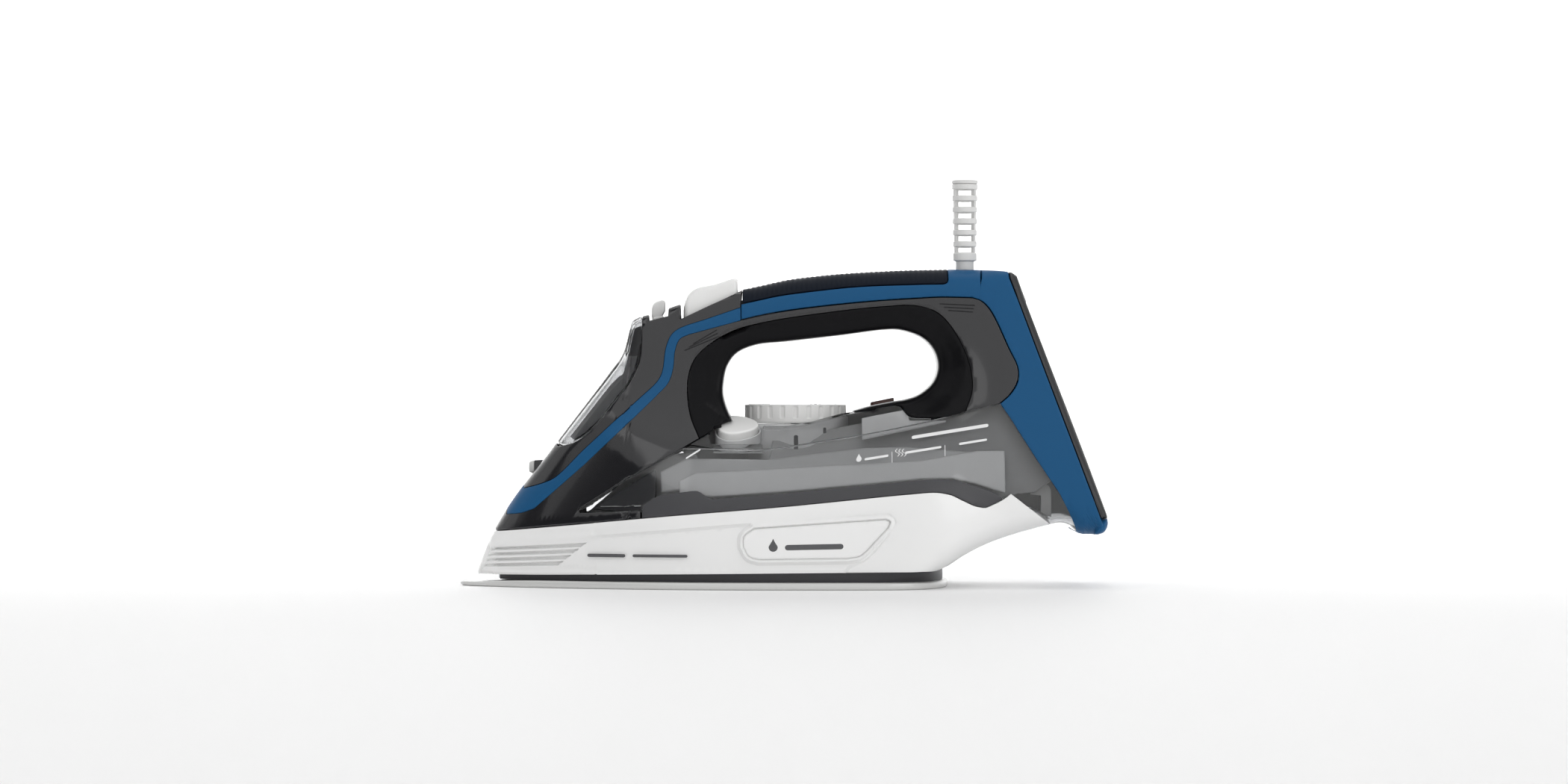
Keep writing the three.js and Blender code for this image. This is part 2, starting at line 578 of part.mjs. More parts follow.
// ---------------------------------------------------------------- housing, covers and trim
function makeHousing() {
  const handleCavity = outline(
    [-17, 121.6], [1.7, 122], [27.2, 124.9], [50.4, 127.8], [57.3, 127.8],
    { through: [[69.5, 123], [76.5, 115.6], [78.2, 106.3], [75.6, 98]] }, [68, 60], [130, 60],
    [130, 100], [100, FAR], [-18, FAR], [-23.5, 126],
  );
  const frontCavity = outline(
    [-96, 20], [-150, 20], [-150, 62], [-113, 66], [-104, 66.6], [-95, 71], [-86.5, 79.6],
    [-72.6, 97.4], [-69.5, 103], [-66.1, 116], [-66.1, 127], [-53, 131], [-50, 127], [-23, 139.4],
    [-19, 136], [-20, 119], [-25.2, 114.8], [-30.2, 105.6], [-31.3, 97], [-29.6, 87], [-26.4, 81],
    [-20, 70], [-60, 20],
  );
  const cavity = prism(handleCavity).add(prism(frontCavity)).intersect(bodyIn);
  const stripeSeat = prism(grown(stripeRegion, 0.2)).subtract(body(1.7));
  const buttonWell = box(-49, -21.1, -14.1, 14.1, 118, FAR);
  const leverSlot = box(-63.6, -56.4, -8.6, 8.6, 118, FAR);
  const housing = prism(housingRegion).intersect(bodyOut).subtract(cavity).subtract(stripeSeat)
    .subtract(underSkirt).subtract(buttonWell).subtract(leverSlot)
    .subtract(crossRod(5.6, 3.4, [-120, 57.6]))
    .subtract(box(-140, -112, -3.4, 3.4, 53.2, 62))
    .subtract(selfCleanCap(1.9, -9, 30)).subtract(fillerMouth())
    .subtract(box(42.2, 54.8, -2.9, 2.9, 80, 95));
  add("housing", housing, BLACK);

  const trim = prism(grown(stripeRegion, -0.1)).intersect(bodyOut).subtract(body(1.4));
  add("front_trim", trim, BLUE);

  const dish = [[0, 140], [5.8, 140], [5.9, 150.2], [8.4, 154.4], [8.4, FAR], [0, FAR]];
  const gripSeat = prism(grown(gripRegion, GAP)).subtract(body(2.1));
  const cover = prism(handleCoverRegion).intersect(bodyOut).subtract(body(4));
  add("handle_cover", cover.subtract(gripSeat).subtract(turned(dish, BOOT_X, 0, 20)), BLUE);
  let grip = prism(gripRegion).intersect(bodyOut).subtract(body(1.8));
  const ribPitch = 9;
  for (let x = -8; x < 78; x += ribPitch)
    grip = grip.subtract(box(x, x + 1.4, -FAR, FAR, 120, along(TOP_LINE, x) - 3).subtract(body(0.7)));
  add("grip_insert", grip, RUBBER);
}

const rearAngle = Math.atan2(REAR_FOOT[0] - REAR_TOP[0], REAR_TOP[1] - REAR_FOOT[1]);
const rearNormal = [Math.cos(rearAngle), Math.sin(rearAngle)];

// Everything in front of the back plate, whose front face lies d inside the flat back.
function aheadOfBack(d) {
  const run = [Math.sin(rearAngle), -Math.cos(rearAngle)];
  const at = [REAR_TOP[0] - d * rearNormal[0], REAR_TOP[1] - d * rearNormal[1]];
  return prism(outline(
    [at[0] - 80 * run[0], at[1] - 80 * run[1]], [at[0] + 240 * run[0], at[1] + 240 * run[1]],
    [-FAR, -FAR], [-FAR, 240],
  ));
}

function makeHeel() {
  const rear = rod(9.6, 138, 151, BOOT_X, 0, 24);
  const hollow = outline([80, 60], [80, 151], [108, 151], [150, 40], [134, 40], [118, 60], [99, 92]);
  const cover = prism(heelCoverRegion).intersect(bodyOut).intersect(aheadOfBack(PLATE_THICK + GAP))
    .subtract(prism(hollow).intersect(bodyIn)).subtract(rear);
  const screwSeats = [heelScrew(0, 2.6, 9), heelScrew(1, 2.6, 9)];
  add("heel_cover", screwSeats.reduce((a, s) => a.subtract(s), cover), BLUE);
  const region = outline([96.3, FAR], [96.3, 138.9], [120, 90], [138, 20], [FAR, 20], [FAR, FAR]);
  const plate = prism(region).intersect(bodyOut).subtract(aheadOfBack(PLATE_THICK));
  add("heel_plate", screwSeats.reduce((a, s) => a.subtract(s), plate), DARK);
  add("heel_screw_upper", heelScrew(0, 2.1, 8.6, 0.5), STEEL);
  add("heel_screw_lower", heelScrew(1, 2.1, 8.6, 0.5), STEEL);
  const bracket = outline(
    [119.6, 45], [120, 47.6], { through: [[121, 49], [124, 49.8], [128, 49.6], [129.6, 47]] }, [129.8, 33.2],
    [124.8, 36], [124.8, 44.4],
  );
  add("heel_bracket", prism(bracket, -24, 24).intersect(body(WALL + 0.4)), PALE);
}

// A screw along the back's normal: which 0 is the upper and 1 the lower one.
function heelScrew(which, r, long, sunk = -1) {
  const share = which ? 0.78 : 0.2;
  const x = mix(REAR_TOP[0], REAR_FOOT[0], share);
  const z = mix(REAR_TOP[1], REAR_FOOT[1], share);
  const geometry = new THREE.CylinderGeometry(r, r, long, 10).rotateZ(-Math.PI / 2);
  return solid(geometry.translate(-long / 2 - sunk, 0, 0).rotateY(-rearAngle).translate(x, 0, z));
}

// ---------------------------------------------------------------- filler door and nozzle
// The hole that water is poured through, behind the door.
function fillerMouth() {
  return box(-110, -70, -7.5, 7.5, 84.5, 96);
}

function makeDoor() {
  const panel = prism(grown(doorRegion, -GAP)).intersect(bodyOut).subtract(body(1.9));
  add("fill_door", panel.subtract(crossRod(DOOR_PIN_RADIUS + 0.25, 14, DOOR_HINGE)), SMOKE, doorGroup);
  add("fill_door_pin", crossRod(DOOR_PIN_RADIUS, 8.4, DOOR_HINGE), STEEL);

  const region = outline(
    [-101, 71.4], [-96, 74.8], [-88.6, 81.6], [-75.4, 98.8], [-72.3, 105], [-70.6, 112], [-76, 112],
    [-98, 86], [-108, 75], [-104.5, 73.6],
  );
  add("filler_neck", prism(region).intersect(body(3.6)).subtract(fillerMouth()), FROST);
}

function makeNozzle() {
  const holder = outline([-121.2, 54.6], [-121.2, 61.2], [-116.4, 61.4], [-113, 59.6], [-113, 54.6]);
  add("nozzle_holder", prism(holder, -3, 3), BLACK);
  const tip = new THREE.CylinderGeometry(2.4, 3.2, 2.4, 16).rotateZ(Math.PI / 2).translate(-122.8, 0, 57.9);
  add("spray_nozzle", solid(tip), WHITE);
}

// ---------------------------------------------------------------- controls
function makeLever() {
  const fin = outline(
    [-62, 119], [-62, 130.6], [-63.4, 130.6], [-63.1, 137], { through: [[-61.8, 138.5], [-58.6, 139.6]] },
    [-57.6, 139], [-57.4, 131.8], [-58.6, 131.6], [-58.6, 119],
  );
  const base = outline([-63.7, 130.1], [-57.6, 131.5], [-57.6, 132.4], [-63.7, 131]);
  const arm = box(-62, LEVER_PIVOT_X + 3.4, -2.6, 2.6, LEVER_ARM_Z, LEVER_ARM_Z + 3.4);
  const lever = prism(fin, -1.7, 1.7).add(prism(base, -3, 3)).add(arm)
    .subtract(rod(1.9, 100, 130, LEVER_PIVOT_X));
  add("steam_lever", lever, PALE, leverGroup);
  const needle = rod(1.5, NEEDLE_TIP_Z, NEEDLE_TOP_Z, LEVER_PIVOT_X, 0, 10);
  add("steam_needle", needle, STEEL, needleGroup);
  const seat = rod(6, 30.2, 36.6, LEVER_PIVOT_X).add(rod(3, 30.2, 42, LEVER_PIVOT_X))
    .subtract(rod(1.9, 38, 60, LEVER_PIVOT_X)).subtract(rod(0.9, 0, 60, LEVER_PIVOT_X));
  add("drip_valve", seat, RUBBER);
}

const BUTTON_SIDE = outline(
  [-48.4, 124], [-48.4, 131], [-47.8, 137], { through: [[-46.2, 141.5], [-43.8, 144], [-40.5, 145.3]] },
  [-23.4, 149.8], [-22, 149], [-21.8, 144], [-22.3, 136.6], [-30, 132.4],
);
const BUTTON_HOLLOW = outline([-46.4, 120], [-46.4, 136.4], [-42, 142], [-24.6, 146.8], [-24.6, 120]);

function makeThumbButton(name, pump, spring, side, group) {
  const near = side * 0.5;
  const far = side * 13.6;
  const [y0, y1] = [Math.min(near, far), Math.max(near, far)];
  const y = side * BUTTON_Y;
  const cap = prism(BUTTON_SIDE, y0, y1).subtract(prism(BUTTON_HOLLOW, y0 + 1.6, y1 - 1.6));
  const stem = rod(1.8, 108.6, 144.4, PUMP_X, y, 8).add(rod(4.2, 132.8, 134.2, PUMP_X, y, 12));
  add(name, cap.add(stem), WHITE, group);
  const barrel = rod(4.6, 92, 118, PUMP_X, y, 12).subtract(rod(2.2, 104, 130, PUMP_X, y, 8));
  add(pump, barrel, PALE);
  add(spring, pipe(new Helix(PUMP_X, y, 118.9, 132, 3.2, 4), 0.5, 36, 5), STEEL);
}

const SELF_CLEAN_PLAN = { long: 10.6, deep: 7.4 };
const SELF_CLEAN_TILT = THREE.MathUtils.degToRad(30);

// A solid on the self-clean button's own axis, placed on the shoulder of the tank cover.
const onShoulder = (geometry) =>
  solid(geometry.rotateX(SELF_CLEAN_TILT).translate(...SELF_CLEAN_AT));

// The rounded, egg-shaped button outline grown by d, from z0 to z1 along the button's axis.
function selfCleanCap(d, z0, z1) {
  const plan = new THREE.Shape();
  const steps = 20;
  for (let i = 0; i < steps; i++) {
    const a = (i / steps) * 2 * Math.PI;
    const x = (SELF_CLEAN_PLAN.long + d) * Math.cos(a);
    const y = (SELF_CLEAN_PLAN.deep + d) * Math.sin(a) * (1 - 0.18 * Math.cos(a));
    if (i === 0) plan.moveTo(x, y);
    else plan.lineTo(x, y);
  }
  const geometry = new THREE.ExtrudeGeometry(plan, { depth: z1 - z0, bevelEnabled: false });
  return onShoulder(geometry.translate(0, 0, z0));
}

function makeSelfClean() {
  const stem = new THREE.CylinderGeometry(1.8, 1.8, 9, 10).rotateX(Math.PI / 2).translate(0, 0, -4.6);
  add("self_clean_button", selfCleanCap(0, -1, 4.2).add(onShoulder(stem)), PALE, selfCleanGroup);
  const through = onShoulder(new THREE.CylinderGeometry(2.3, 2.3, 30, 12).rotateX(Math.PI / 2));
  const bezel = selfCleanCap(1.4, -7.4, 0.4).subtract(selfCleanCap(0.4, -5.6, 10)).subtract(through);
  add("self_clean_bezel", bezel, FROST);
}

function makeDial() {
  const teeth = 24; // rounded grip flutes round the rim
  const ring = new THREE.Shape();
  for (let i = 0; i < teeth; i++)
    [[-0.3, 24.3], [-0.12, DIAL_RADIUS], [0.12, DIAL_RADIUS]].forEach(([shift, r], k) => {
      const a = ((i + shift) / teeth) * 2 * Math.PI;
      const at = [DIAL_X + r * Math.cos(a), r * Math.sin(a)];
      if (i === 0 && k === 0) ring.moveTo(...at);
      else ring.lineTo(...at);
    });
  const pointer = box(DIAL_X - 22, DIAL_X - 14, -0.8, 0.8, DIAL_TOP - 1, DIAL_TOP + 0.3);
  const ceiling = DIAL_TOP - 2.2;
  const hollow = turned([[5, 60], [22.4, 60], [22.4, ceiling], [5, ceiling], [5, 60]], DIAL_X, 0, 24);
  const dial = slab(ring, 82.6, DIAL_TOP - 0.6).add(rod(24.3, DIAL_BOTTOM, DIAL_TOP, DIAL_X, 0, 32))
    .add(pointer).subtract(hollow).subtract(rod(2.6, 60, ceiling, DIAL_X));
  add("temperature_dial", dial, PALE, dialGroup);
  add("dial_spindle", rod(2.3, CASTING_TOP + 13.6, DIAL_TOP - 2.6, DIAL_X, 0, 12), STEEL, dialGroup);
}

function makeIndicator() {
  const lens = outline([42.6, 86.8], [42.6, 88.3], [54.4, 90.8], [54.4, 89]);
  add("indicator_lens", prism(lens, -2.6, 2.6), PALE);
}

// ---------------------------------------------------------------- cord exit
const BOOT_LEVELS = 6;
const BOOT_PITCH = 5.6;
const BOOT_WINDOW = 2.8; // height of a slot
const BOOT_WINDOW_LOW = 162.4;
const BOOT_END_Z = 198;
const COLLAR_LOW = 157.2;

function makeCordExit() {
  const socket = turned(
    [[6.3, 148.2], [6.8, BALL_Z], [5, 141.4], [8.6, 141.4], [8.6, 148.2], [6.3, 148.2]], BOOT_X, 0, 12,
  );
  add("cord_swivel", socket, PALE, cordGroup);
  const ball = [];
  for (let i = 0; i <= 4; i++) {
    const a = mix(-0.95, 0.95, i / 4);
    ball.push([BALL_RADIUS * Math.cos(a), BALL_Z + BALL_RADIUS * Math.sin(a)]);
  }
  const bottom = ball[0][1];
  const profile = [[2.7, bottom], ...ball, [3.6, COLLAR_LOW], [5.35, COLLAR_LOW], [5.45, BOOT_WINDOW_LOW]];
  for (let i = 0; i < BOOT_LEVELS; i++) {
    const z = BOOT_WINDOW_LOW + i * BOOT_PITCH;
    const r = 5.45 + 0.14 * i;
    profile.push([r - 0.7, z], [r - 0.7, z + BOOT_WINDOW], [r + 0.14, z + BOOT_WINDOW + 0.2]);
  }
  profile.push([6.3, BOOT_END_Z - 1.8], [6.3, BOOT_END_Z], [3.9, BOOT_END_Z]);
  profile.push([3.9, COLLAR_LOW + 1.2], [2.7, COLLAR_LOW - 0.8], [2.7, bottom]);
  let boot = turned(profile, BOOT_X, 0, 12);
  for (let i = 0; i < BOOT_LEVELS; i++) {
    const z = BOOT_WINDOW_LOW + i * BOOT_PITCH;
    boot = boot.subtract(box(BOOT_X - 3.8, BOOT_X + 3.8, -FAR, FAR, z, z + BOOT_WINDOW));
  }
  add("cord_boot", boot, WHITE, cordGroup);
  add("cord_clamp", box(60, 72, -6, 6, 130, 134.5), PALE);
  add("terminal_block", box(104, 120, -9, 9, 100, 108).intersect(body(WALL + 0.5)), PALE);
}

function makeHose() {
  const route = [
    [PUMP_X - 6.6, -BUTTON_Y, 96], [-50, -5, 88], [-70, -4, 78], [-92, 0, 68], [-111.2, 0, 57.4],
  ];
  const curve = new THREE.CatmullRomCurve3(route.map((p) => new THREE.Vector3(...p)));
  add("spray_hose", pipe(curve, 1.5, 10, 6), RUBBER);
}

makeSole();
makeHeater();
makeSkirt();
makeTank();
makeHousing();
makeHeel();
makeDoor();
makeNozzle();
makeLever();
makeThumbButton("spray_button", "spray_pump", "spray_spring", -1, sprayGroup);
makeThumbButton("steam_button", "steam_pump", "steam_spring", 1, steamGroup);
makeSelfClean();
makeDial();
makeIndicator();
makeCordExit();
makeHose();

export default iron;
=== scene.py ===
"""A steam iron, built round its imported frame: nose at -X, heel at +X, standing on its soleplate.

Shapes are worked out in millimetres and become meshes in metres. Every casing is a panel cut from one smooth
body. The body is unrolled from its top middle line down one side: a place on it is (x, s), where x runs along
the iron and s is the distance down the side. Seams are drawn in the side view (x, z) and unrolled."""

import json
import math

import bmesh
import bpy
import numpy as np
from mathutils import Matrix, Vector
from mathutils.geometry import delaunay_2d_cdt


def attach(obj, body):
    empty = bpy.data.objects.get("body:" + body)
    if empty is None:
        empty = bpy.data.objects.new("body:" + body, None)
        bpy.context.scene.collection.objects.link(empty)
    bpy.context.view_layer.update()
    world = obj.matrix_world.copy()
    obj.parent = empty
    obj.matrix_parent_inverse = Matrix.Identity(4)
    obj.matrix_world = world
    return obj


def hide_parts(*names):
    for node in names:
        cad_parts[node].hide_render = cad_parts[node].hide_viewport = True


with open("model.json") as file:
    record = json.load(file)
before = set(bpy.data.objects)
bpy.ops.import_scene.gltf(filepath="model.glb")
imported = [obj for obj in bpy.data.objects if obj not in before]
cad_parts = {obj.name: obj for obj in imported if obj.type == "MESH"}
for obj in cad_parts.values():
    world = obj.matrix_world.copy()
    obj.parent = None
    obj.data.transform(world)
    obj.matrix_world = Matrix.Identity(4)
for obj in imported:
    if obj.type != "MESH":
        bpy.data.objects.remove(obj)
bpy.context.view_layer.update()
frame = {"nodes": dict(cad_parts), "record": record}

MM = 0.001
LIP = 3.6  # rounding at the very edge of the handle opening
BEVEL_SLOPE = 0.07  # of the surround of the handle opening ...
STEP_DEEP = 0.7  # ... and the step down to it

# ---------------------------------------------------------------- the body's form, as in the frame
BODY_NOSE_X = -149.5
BODY_END_X = 157.3
BODY_HALF_WIDTH = 53.5
FULLEST_X = 10.0
REAR_TOP = (113.4, 151.2)  # the flat back runs from here ...
REAR_FOOT = (157.5, 31.0)  # ... to here
SEAM = 0.13  # each panel stops this far short of a seam
RAKE, RAKE_FROM = 0.45, 27  # the nose goes back by this for each mm above a height
REAR_BLEND = (60, 110)  # the cross-section turns from the middle's to the rear's between these x
TUCK_BLEND = (55, 80)  # the underside curls in from here
SOFT = 6.0  # how softly the plan outline meets the cross-section

TOP_LINE = [
    (-149.5, 6), (-146.5, 14), (-141, 27), (-112, 67.4), (-96, 88.2), (-84, 104.2), (-77.3, 114.2),
    (-74.6, 124), (-73, 129), (-62, 132.9), (-49.6, 137.2), (-30, 141.8), (-10, 146.5), (5, 149.6),
    (36.5, 152.7), (66.5, 154), (82, 154.2), (99.6, 153.8), (110, 152.8), REAR_TOP, (115, 146.9), REAR_FOOT,
]
BOTTOM_LINE = [
    (-150, 4), (60, 4), (67, 5.6), (74, 8.6), (79, 10.6), (87, 15.6), (99, 21.4), (117, 27.3), (129, 30.3),
    (134, 31.1), (138.5, 30), (141.5, 27), (145, 25.8), (157.5, 25.8),
]
MID_WIDTH = [
    (4, 53.5), (8, 53.5), (30, 53), (40, 51.5), (50, 48), (60, 43), (70, 37), (78, 31), (86, 25.5),
    (95, 20.5), (105, 18), (120, 17.3), (140, 17), (155, 15.5),
]
REAR_WIDTH = [(4, 42), (25, 41), (45, 40), (60, 38), (80, 33), (100, 28), (120, 24), (140, 20.5), (155, 18.5)]
EDGE_ACROSS = [(-150, 7), (-80, 7), (-73, 4), (-25, 4), (-10, 10), (90, 10), (112, 5), (158, 5)]
EDGE_DOWN = [(-150, 12), (-80, 12), (-73, 4), (-25, 4), (-10, 10), (90, 10), (112, 14), (158, 14)]


def smooth(rows):
    """A smooth curve through [place, value] rows that doesn't overshoot between them."""
    at, value = (np.array(c, float) for c in zip(*rows))
    gap = np.diff(at)
    slope = np.diff(value) / gap
    tangent = np.zeros_like(value)
    tangent[0], tangent[-1] = slope[0], slope[-1]
    for i in range(1, len(value) - 1):
        if slope[i - 1] * slope[i] > 0:
            a = 2 * gap[i] + gap[i - 1]
            b = gap[i] + 2 * gap[i - 1]
            tangent[i] = (a + b) / (a / slope[i - 1] + b / slope[i])

    def curve(q):
        q = np.clip(np.asarray(q, float), at[0], at[-1])
        i = np.clip(np.searchsorted(at, q) - 1, 0, len(gap) - 1)
        t = (q - at[i]) / gap[i]
        rest = 1 - t
        return (
            value[i] * (1 + 2 * t) * rest**2
            + value[i + 1] * (3 - 2 * t) * t**2
            + gap[i] * (tangent[i] * t * rest**2 - tangent[i + 1] * rest * t**2)
        )

    return curve


top_line, bottom_line = smooth(TOP_LINE), smooth(BOTTOM_LINE)
mid_width, rear_width = smooth(MID_WIDTH), smooth(REAR_WIDTH)
edge_across, edge_down = smooth(EDGE_ACROSS), smooth(EDGE_DOWN)


def ease(low, high, value):
    t = np.clip((np.asarray(value, float) - low) / (high - low), 0, 1)
    return t * t * (3 - 2 * t)


def plan_half(x, nose, half):
    u = np.clip((np.asarray(x, float) - nose) / (FULLEST_X - nose), 0, 1)
    return half * np.sin(math.pi / 2 * u**0.75)


def half_width(x, z):
    plan = plan_half(x - RAKE * np.maximum(z - RAKE_FROM, 0), BODY_NOSE_X, BODY_HALF_WIDTH)
    blend = ease(*REAR_BLEND, x)
    section = mid_width(z) * (1 - blend) + rear_width(z) * blend
    h = np.clip(0.5 + 0.5 * (section - plan) / SOFT, 0, 1)
    return np.maximum(section * (1 - h) + plan * h - SOFT * h * (1 - h), 0.02)


def section(x):
    """The cross-section at x: its heights, its roundings and the lengths of its five stretches."""
    top, bottom = top_line(x), bottom_line(x)
    tall = top - bottom
    down = np.minimum(edge_down(x), 0.4 * tall)
    across = np.minimum(edge_across(x), 0.7 * half_width(x, top))
    under = ease(*TUCK_BLEND, x)
    rise = np.minimum(2 + 10 * under, 0.35 * tall)
    tuck = np.minimum(1 + 15 * under, 0.6 * half_width(x, bottom))
    flat = half_width(x, top) - across
    corner = math.pi / 2 * np.sqrt((across**2 + down**2) / 2)
    foot = math.pi / 2 * np.sqrt((tuck**2 + rise**2) / 2)
    base = half_width(x, bottom) - tuck
    ends = np.cumsum([flat, corner, tall - down - rise, foot, base], axis=0)
    return top, bottom, down, across, rise, tuck, ends


def surface(x, s):
    """The points of the body at (x, s), in millimetres."""
    x = np.clip(np.asarray(x, float), BODY_NOSE_X + 1e-3, BODY_END_X)
    side = np.where(np.asarray(s) < 0, -1.0, 1.0)
    top, bottom, down, across, rise, tuck, ends = section(x)
    s = np.clip(np.abs(s), 0, ends[4])
    starts = np.vstack([np.zeros_like(ends[0])[None], ends[:4]])
    t = np.clip((s - starts) / np.maximum(ends - starts, 1e-9), 0, 1)
    a = (1 - t[1]) * math.pi / 2
    b = (1 - t[3]) * math.pi / 2
    z_corner = top - down * (1 - np.sin(a))
    z_side = (top - down) + (bottom + rise - top + down) * t[2]
    z_foot = bottom + rise * (1 - np.cos(b))
    z = np.where(s <= ends[1], z_corner, np.where(s <= ends[2], z_side, z_foot))
    z = np.where(s <= ends[0], top, np.where(s > ends[3], bottom, z))
    width = half_width(x, z)
    y = np.where(s <= ends[1], width - across * (1 - np.cos(a)), width)
    y = np.where(s <= ends[0], s, y)
    y = np.where(s > ends[2], width - tuck * (1 - np.sin(b)), y)
    y = np.where(s > ends[3], (width - tuck) * (1 - t[4]), y)
    return np.stack([x, y * side, z], axis=-1)


def normals(x, s):
    """The body's outward normals at (x, s)."""
    h = 0.25
    along = surface(x + h, s) - surface(x - h, s)
    across = surface(x, s + h) - surface(x, np.asarray(s) - h)
    n = np.cross(along, across)
    return n / np.maximum(np.linalg.norm(n, axis=-1, keepdims=True), 1e-9)


def base_s(x):
    """How far down the bottom middle line is."""
    return section(np.asarray(x, float))[6][4]


LEVEL_X = -90.0


def slide(x):
    """How far the unrolled side slips down behind LEVEL_X, where the top line jumps up to the handle."""
    behind = np.maximum(np.asarray(x, float), LEVEL_X)
    top, _, down, *_, ends = section(np.append(behind, LEVEL_X))
    drop = top - down + ends[1]
    return drop[:-1] - drop[-1]


def side(points, step=1.6):
    """A run of side-view points (x, z) as places (x, s) on the body, kept straight in the side view."""
    fine = [points[0]]
    for a, b in zip(points, points[1:]):
        n = max(1, math.ceil(math.dist(a, b) / step))
        fine += [(a[0] + (b[0] - a[0]) * i / n, a[1] + (b[1] - a[1]) * i / n) for i in range(1, n + 1)]
    x, z = (np.array(c, float) for c in zip(*fine))
    top, bottom, down, _, rise, _, ends = section(x)
    in_corner = np.arcsin(np.clip(1 - (top - z) / down, 0, 1))
    s_corner = ends[0] + (1 - in_corner * 2 / math.pi) * (ends[1] - ends[0])
    s_side = ends[1] + (top - down - z) / np.maximum(top - down - bottom - rise, 1e-9) * (ends[2] - ends[1])
    in_foot = np.arccos(np.clip(1 - (z - bottom) / rise, 0, 1))
    s_foot = ends[2] + (1 - in_foot * 2 / math.pi) * (ends[3] - ends[2])
    s = np.where(z > top - down, s_corner, np.where(z > bottom + rise, s_side, s_foot))
    return list(zip(x.tolist(), s.tolist()))


def shifted(points, dx, dz):
    return [(x + dx, z + dz) for x, z in points]


def closed_side(points, step=1.6):
    """A closed run of side-view points as places on the body."""
    return side(points + points[:1], step)[:-1]


def middle(*xs):
    """Places on the top middle line."""
    return [(float(x), 0.0) for x in xs]


def under(start, end):
    """A run of places along the bottom middle line."""
    return [(x, float(base_s(x))) for x in np.linspace(start, end, int(abs(end - start)) + 2).tolist()]


def trace(*pieces):
    """An outline: a tuple is a corner, and a list is a smooth curve on from the last point."""
    out = []
    for piece in pieces:
        if isinstance(piece, tuple):
            out.append(piece)
            continue
        knots = [np.array(p, float) for p in ([out[-1]] if out else []) + list(piece)]
        if not out:
            out.append(tuple(knots[0]))
        ghost = [2 * knots[0] - knots[1]] + knots + [2 * knots[-1] - knots[-2]]
        for i in range(1, len(knots)):
            p0, p1, p2, p3 = ghost[i - 1 : i + 3]
            a, b, c = (max(np.linalg.norm(q - p), 1e-6) ** 0.5 for p, q in ((p0, p1), (p1, p2), (p2, p3)))
            m1 = (p1 - p0) / a - (p2 - p0) / (a + b) + (p2 - p1) / b
            m2 = (p2 - p1) / b - (p3 - p1) / (b + c) + (p3 - p2) / c
            for k in range(1, 9):
                t = k / 8
                point = (
                    (2 * t**3 - 3 * t**2 + 1) * p1
                    + (t**3 - 2 * t**2 + t) * b * m1
                    + (3 * t**2 - 2 * t**3) * p2
                    + (t**3 - t**2) * b * m2
                )
                out.append((float(point[0]), float(point[1])))
    return out


def spread(loop, step):
    """A closed loop with no gap longer than step."""
    out = []
    for a, b in zip(loop, loop[1:] + loop[:1]):
        n = max(1, math.ceil(math.dist(a, b) / step))
        for i in range(n):
            out.append((a[0] + (b[0] - a[0]) * i / n, a[1] + (b[1] - a[1]) * i / n))
    clean = [p for p, q in zip(out, out[1:] + out[:1]) if math.dist(p, q) > 1e-4]
    return np.array(clean)


def inward(loop, distance):
    """A closed loop moved inwards by a distance, which may differ from point to point."""
    before = loop - np.roll(loop, 1, 0)
    after = np.roll(loop, -1, 0) - loop
    before /= np.maximum(np.linalg.norm(before, axis=1, keepdims=True), 1e-9)
    after /= np.maximum(np.linalg.norm(after, axis=1, keepdims=True), 1e-9)
    area = np.sum(loop[:, 0] * np.roll(loop[:, 1], -1) - loop[:, 1] * np.roll(loop[:, 0], -1))
    turn = 1.0 if area > 0 else -1.0
    normal = np.stack([-(before[:, 1] + after[:, 1]), before[:, 0] + after[:, 0]], 1) * turn
    normal /= np.maximum(np.linalg.norm(normal, axis=1, keepdims=True), 1e-6)
    share = np.maximum(0.5, np.sum(normal * np.stack([-after[:, 1], after[:, 0]], 1) * turn, axis=1))
    return loop + normal * (np.asarray(distance) / share)[:, None]


def nearest(points, starts, finishes):
    """Each point's distance to the nearest of some line pieces, and which piece that is."""
    best = np.full(len(points), np.inf)
    which = np.zeros(len(points), int)
    run = finishes - starts
    length2 = np.maximum(np.sum(run**2, 1), 1e-12)
    for low in range(0, len(points), 2000):
        p = points[low : low + 2000, None, :]
        t = np.clip(np.sum((p - starts) * run, 2) / length2, 0, 1)
        d = np.linalg.norm(p - starts - t[..., None] * run, axis=2)
        which[low : low + 2000] = d.argmin(1)
        best[low : low + 2000] = d.min(1)
    return best, which


def inside(points, loop):
    """Which points lie inside a closed loop."""
    a, b = loop, np.roll(loop, -1, 0)
    result = np.zeros(len(points), bool)
    for low in range(0, len(points), 4000):
        x, y = points[low : low + 4000, 0:1], points[low : low + 4000, 1:2]
        crosses = (a[:, 1] > y) != (b[:, 1] > y)
        rise = np.where(b[:, 1] == a[:, 1], 1e-12, b[:, 1] - a[:, 1])
        at = a[:, 0] + (y - a[:, 1]) * (b[:, 0] - a[:, 0]) / rise
        result[low : low + 4000] = np.sum(crosses & (x < at), 1) % 2 == 1
    return result


# ---------------------------------------------------------------- meshes and materials
WELD, NO_LENGTH = 2e-6, 1e-7  # in metres


def add_object(name, data):
    obj = bpy.data.objects.new(name, data)
    bpy.context.scene.collection.objects.link(obj)
    return obj


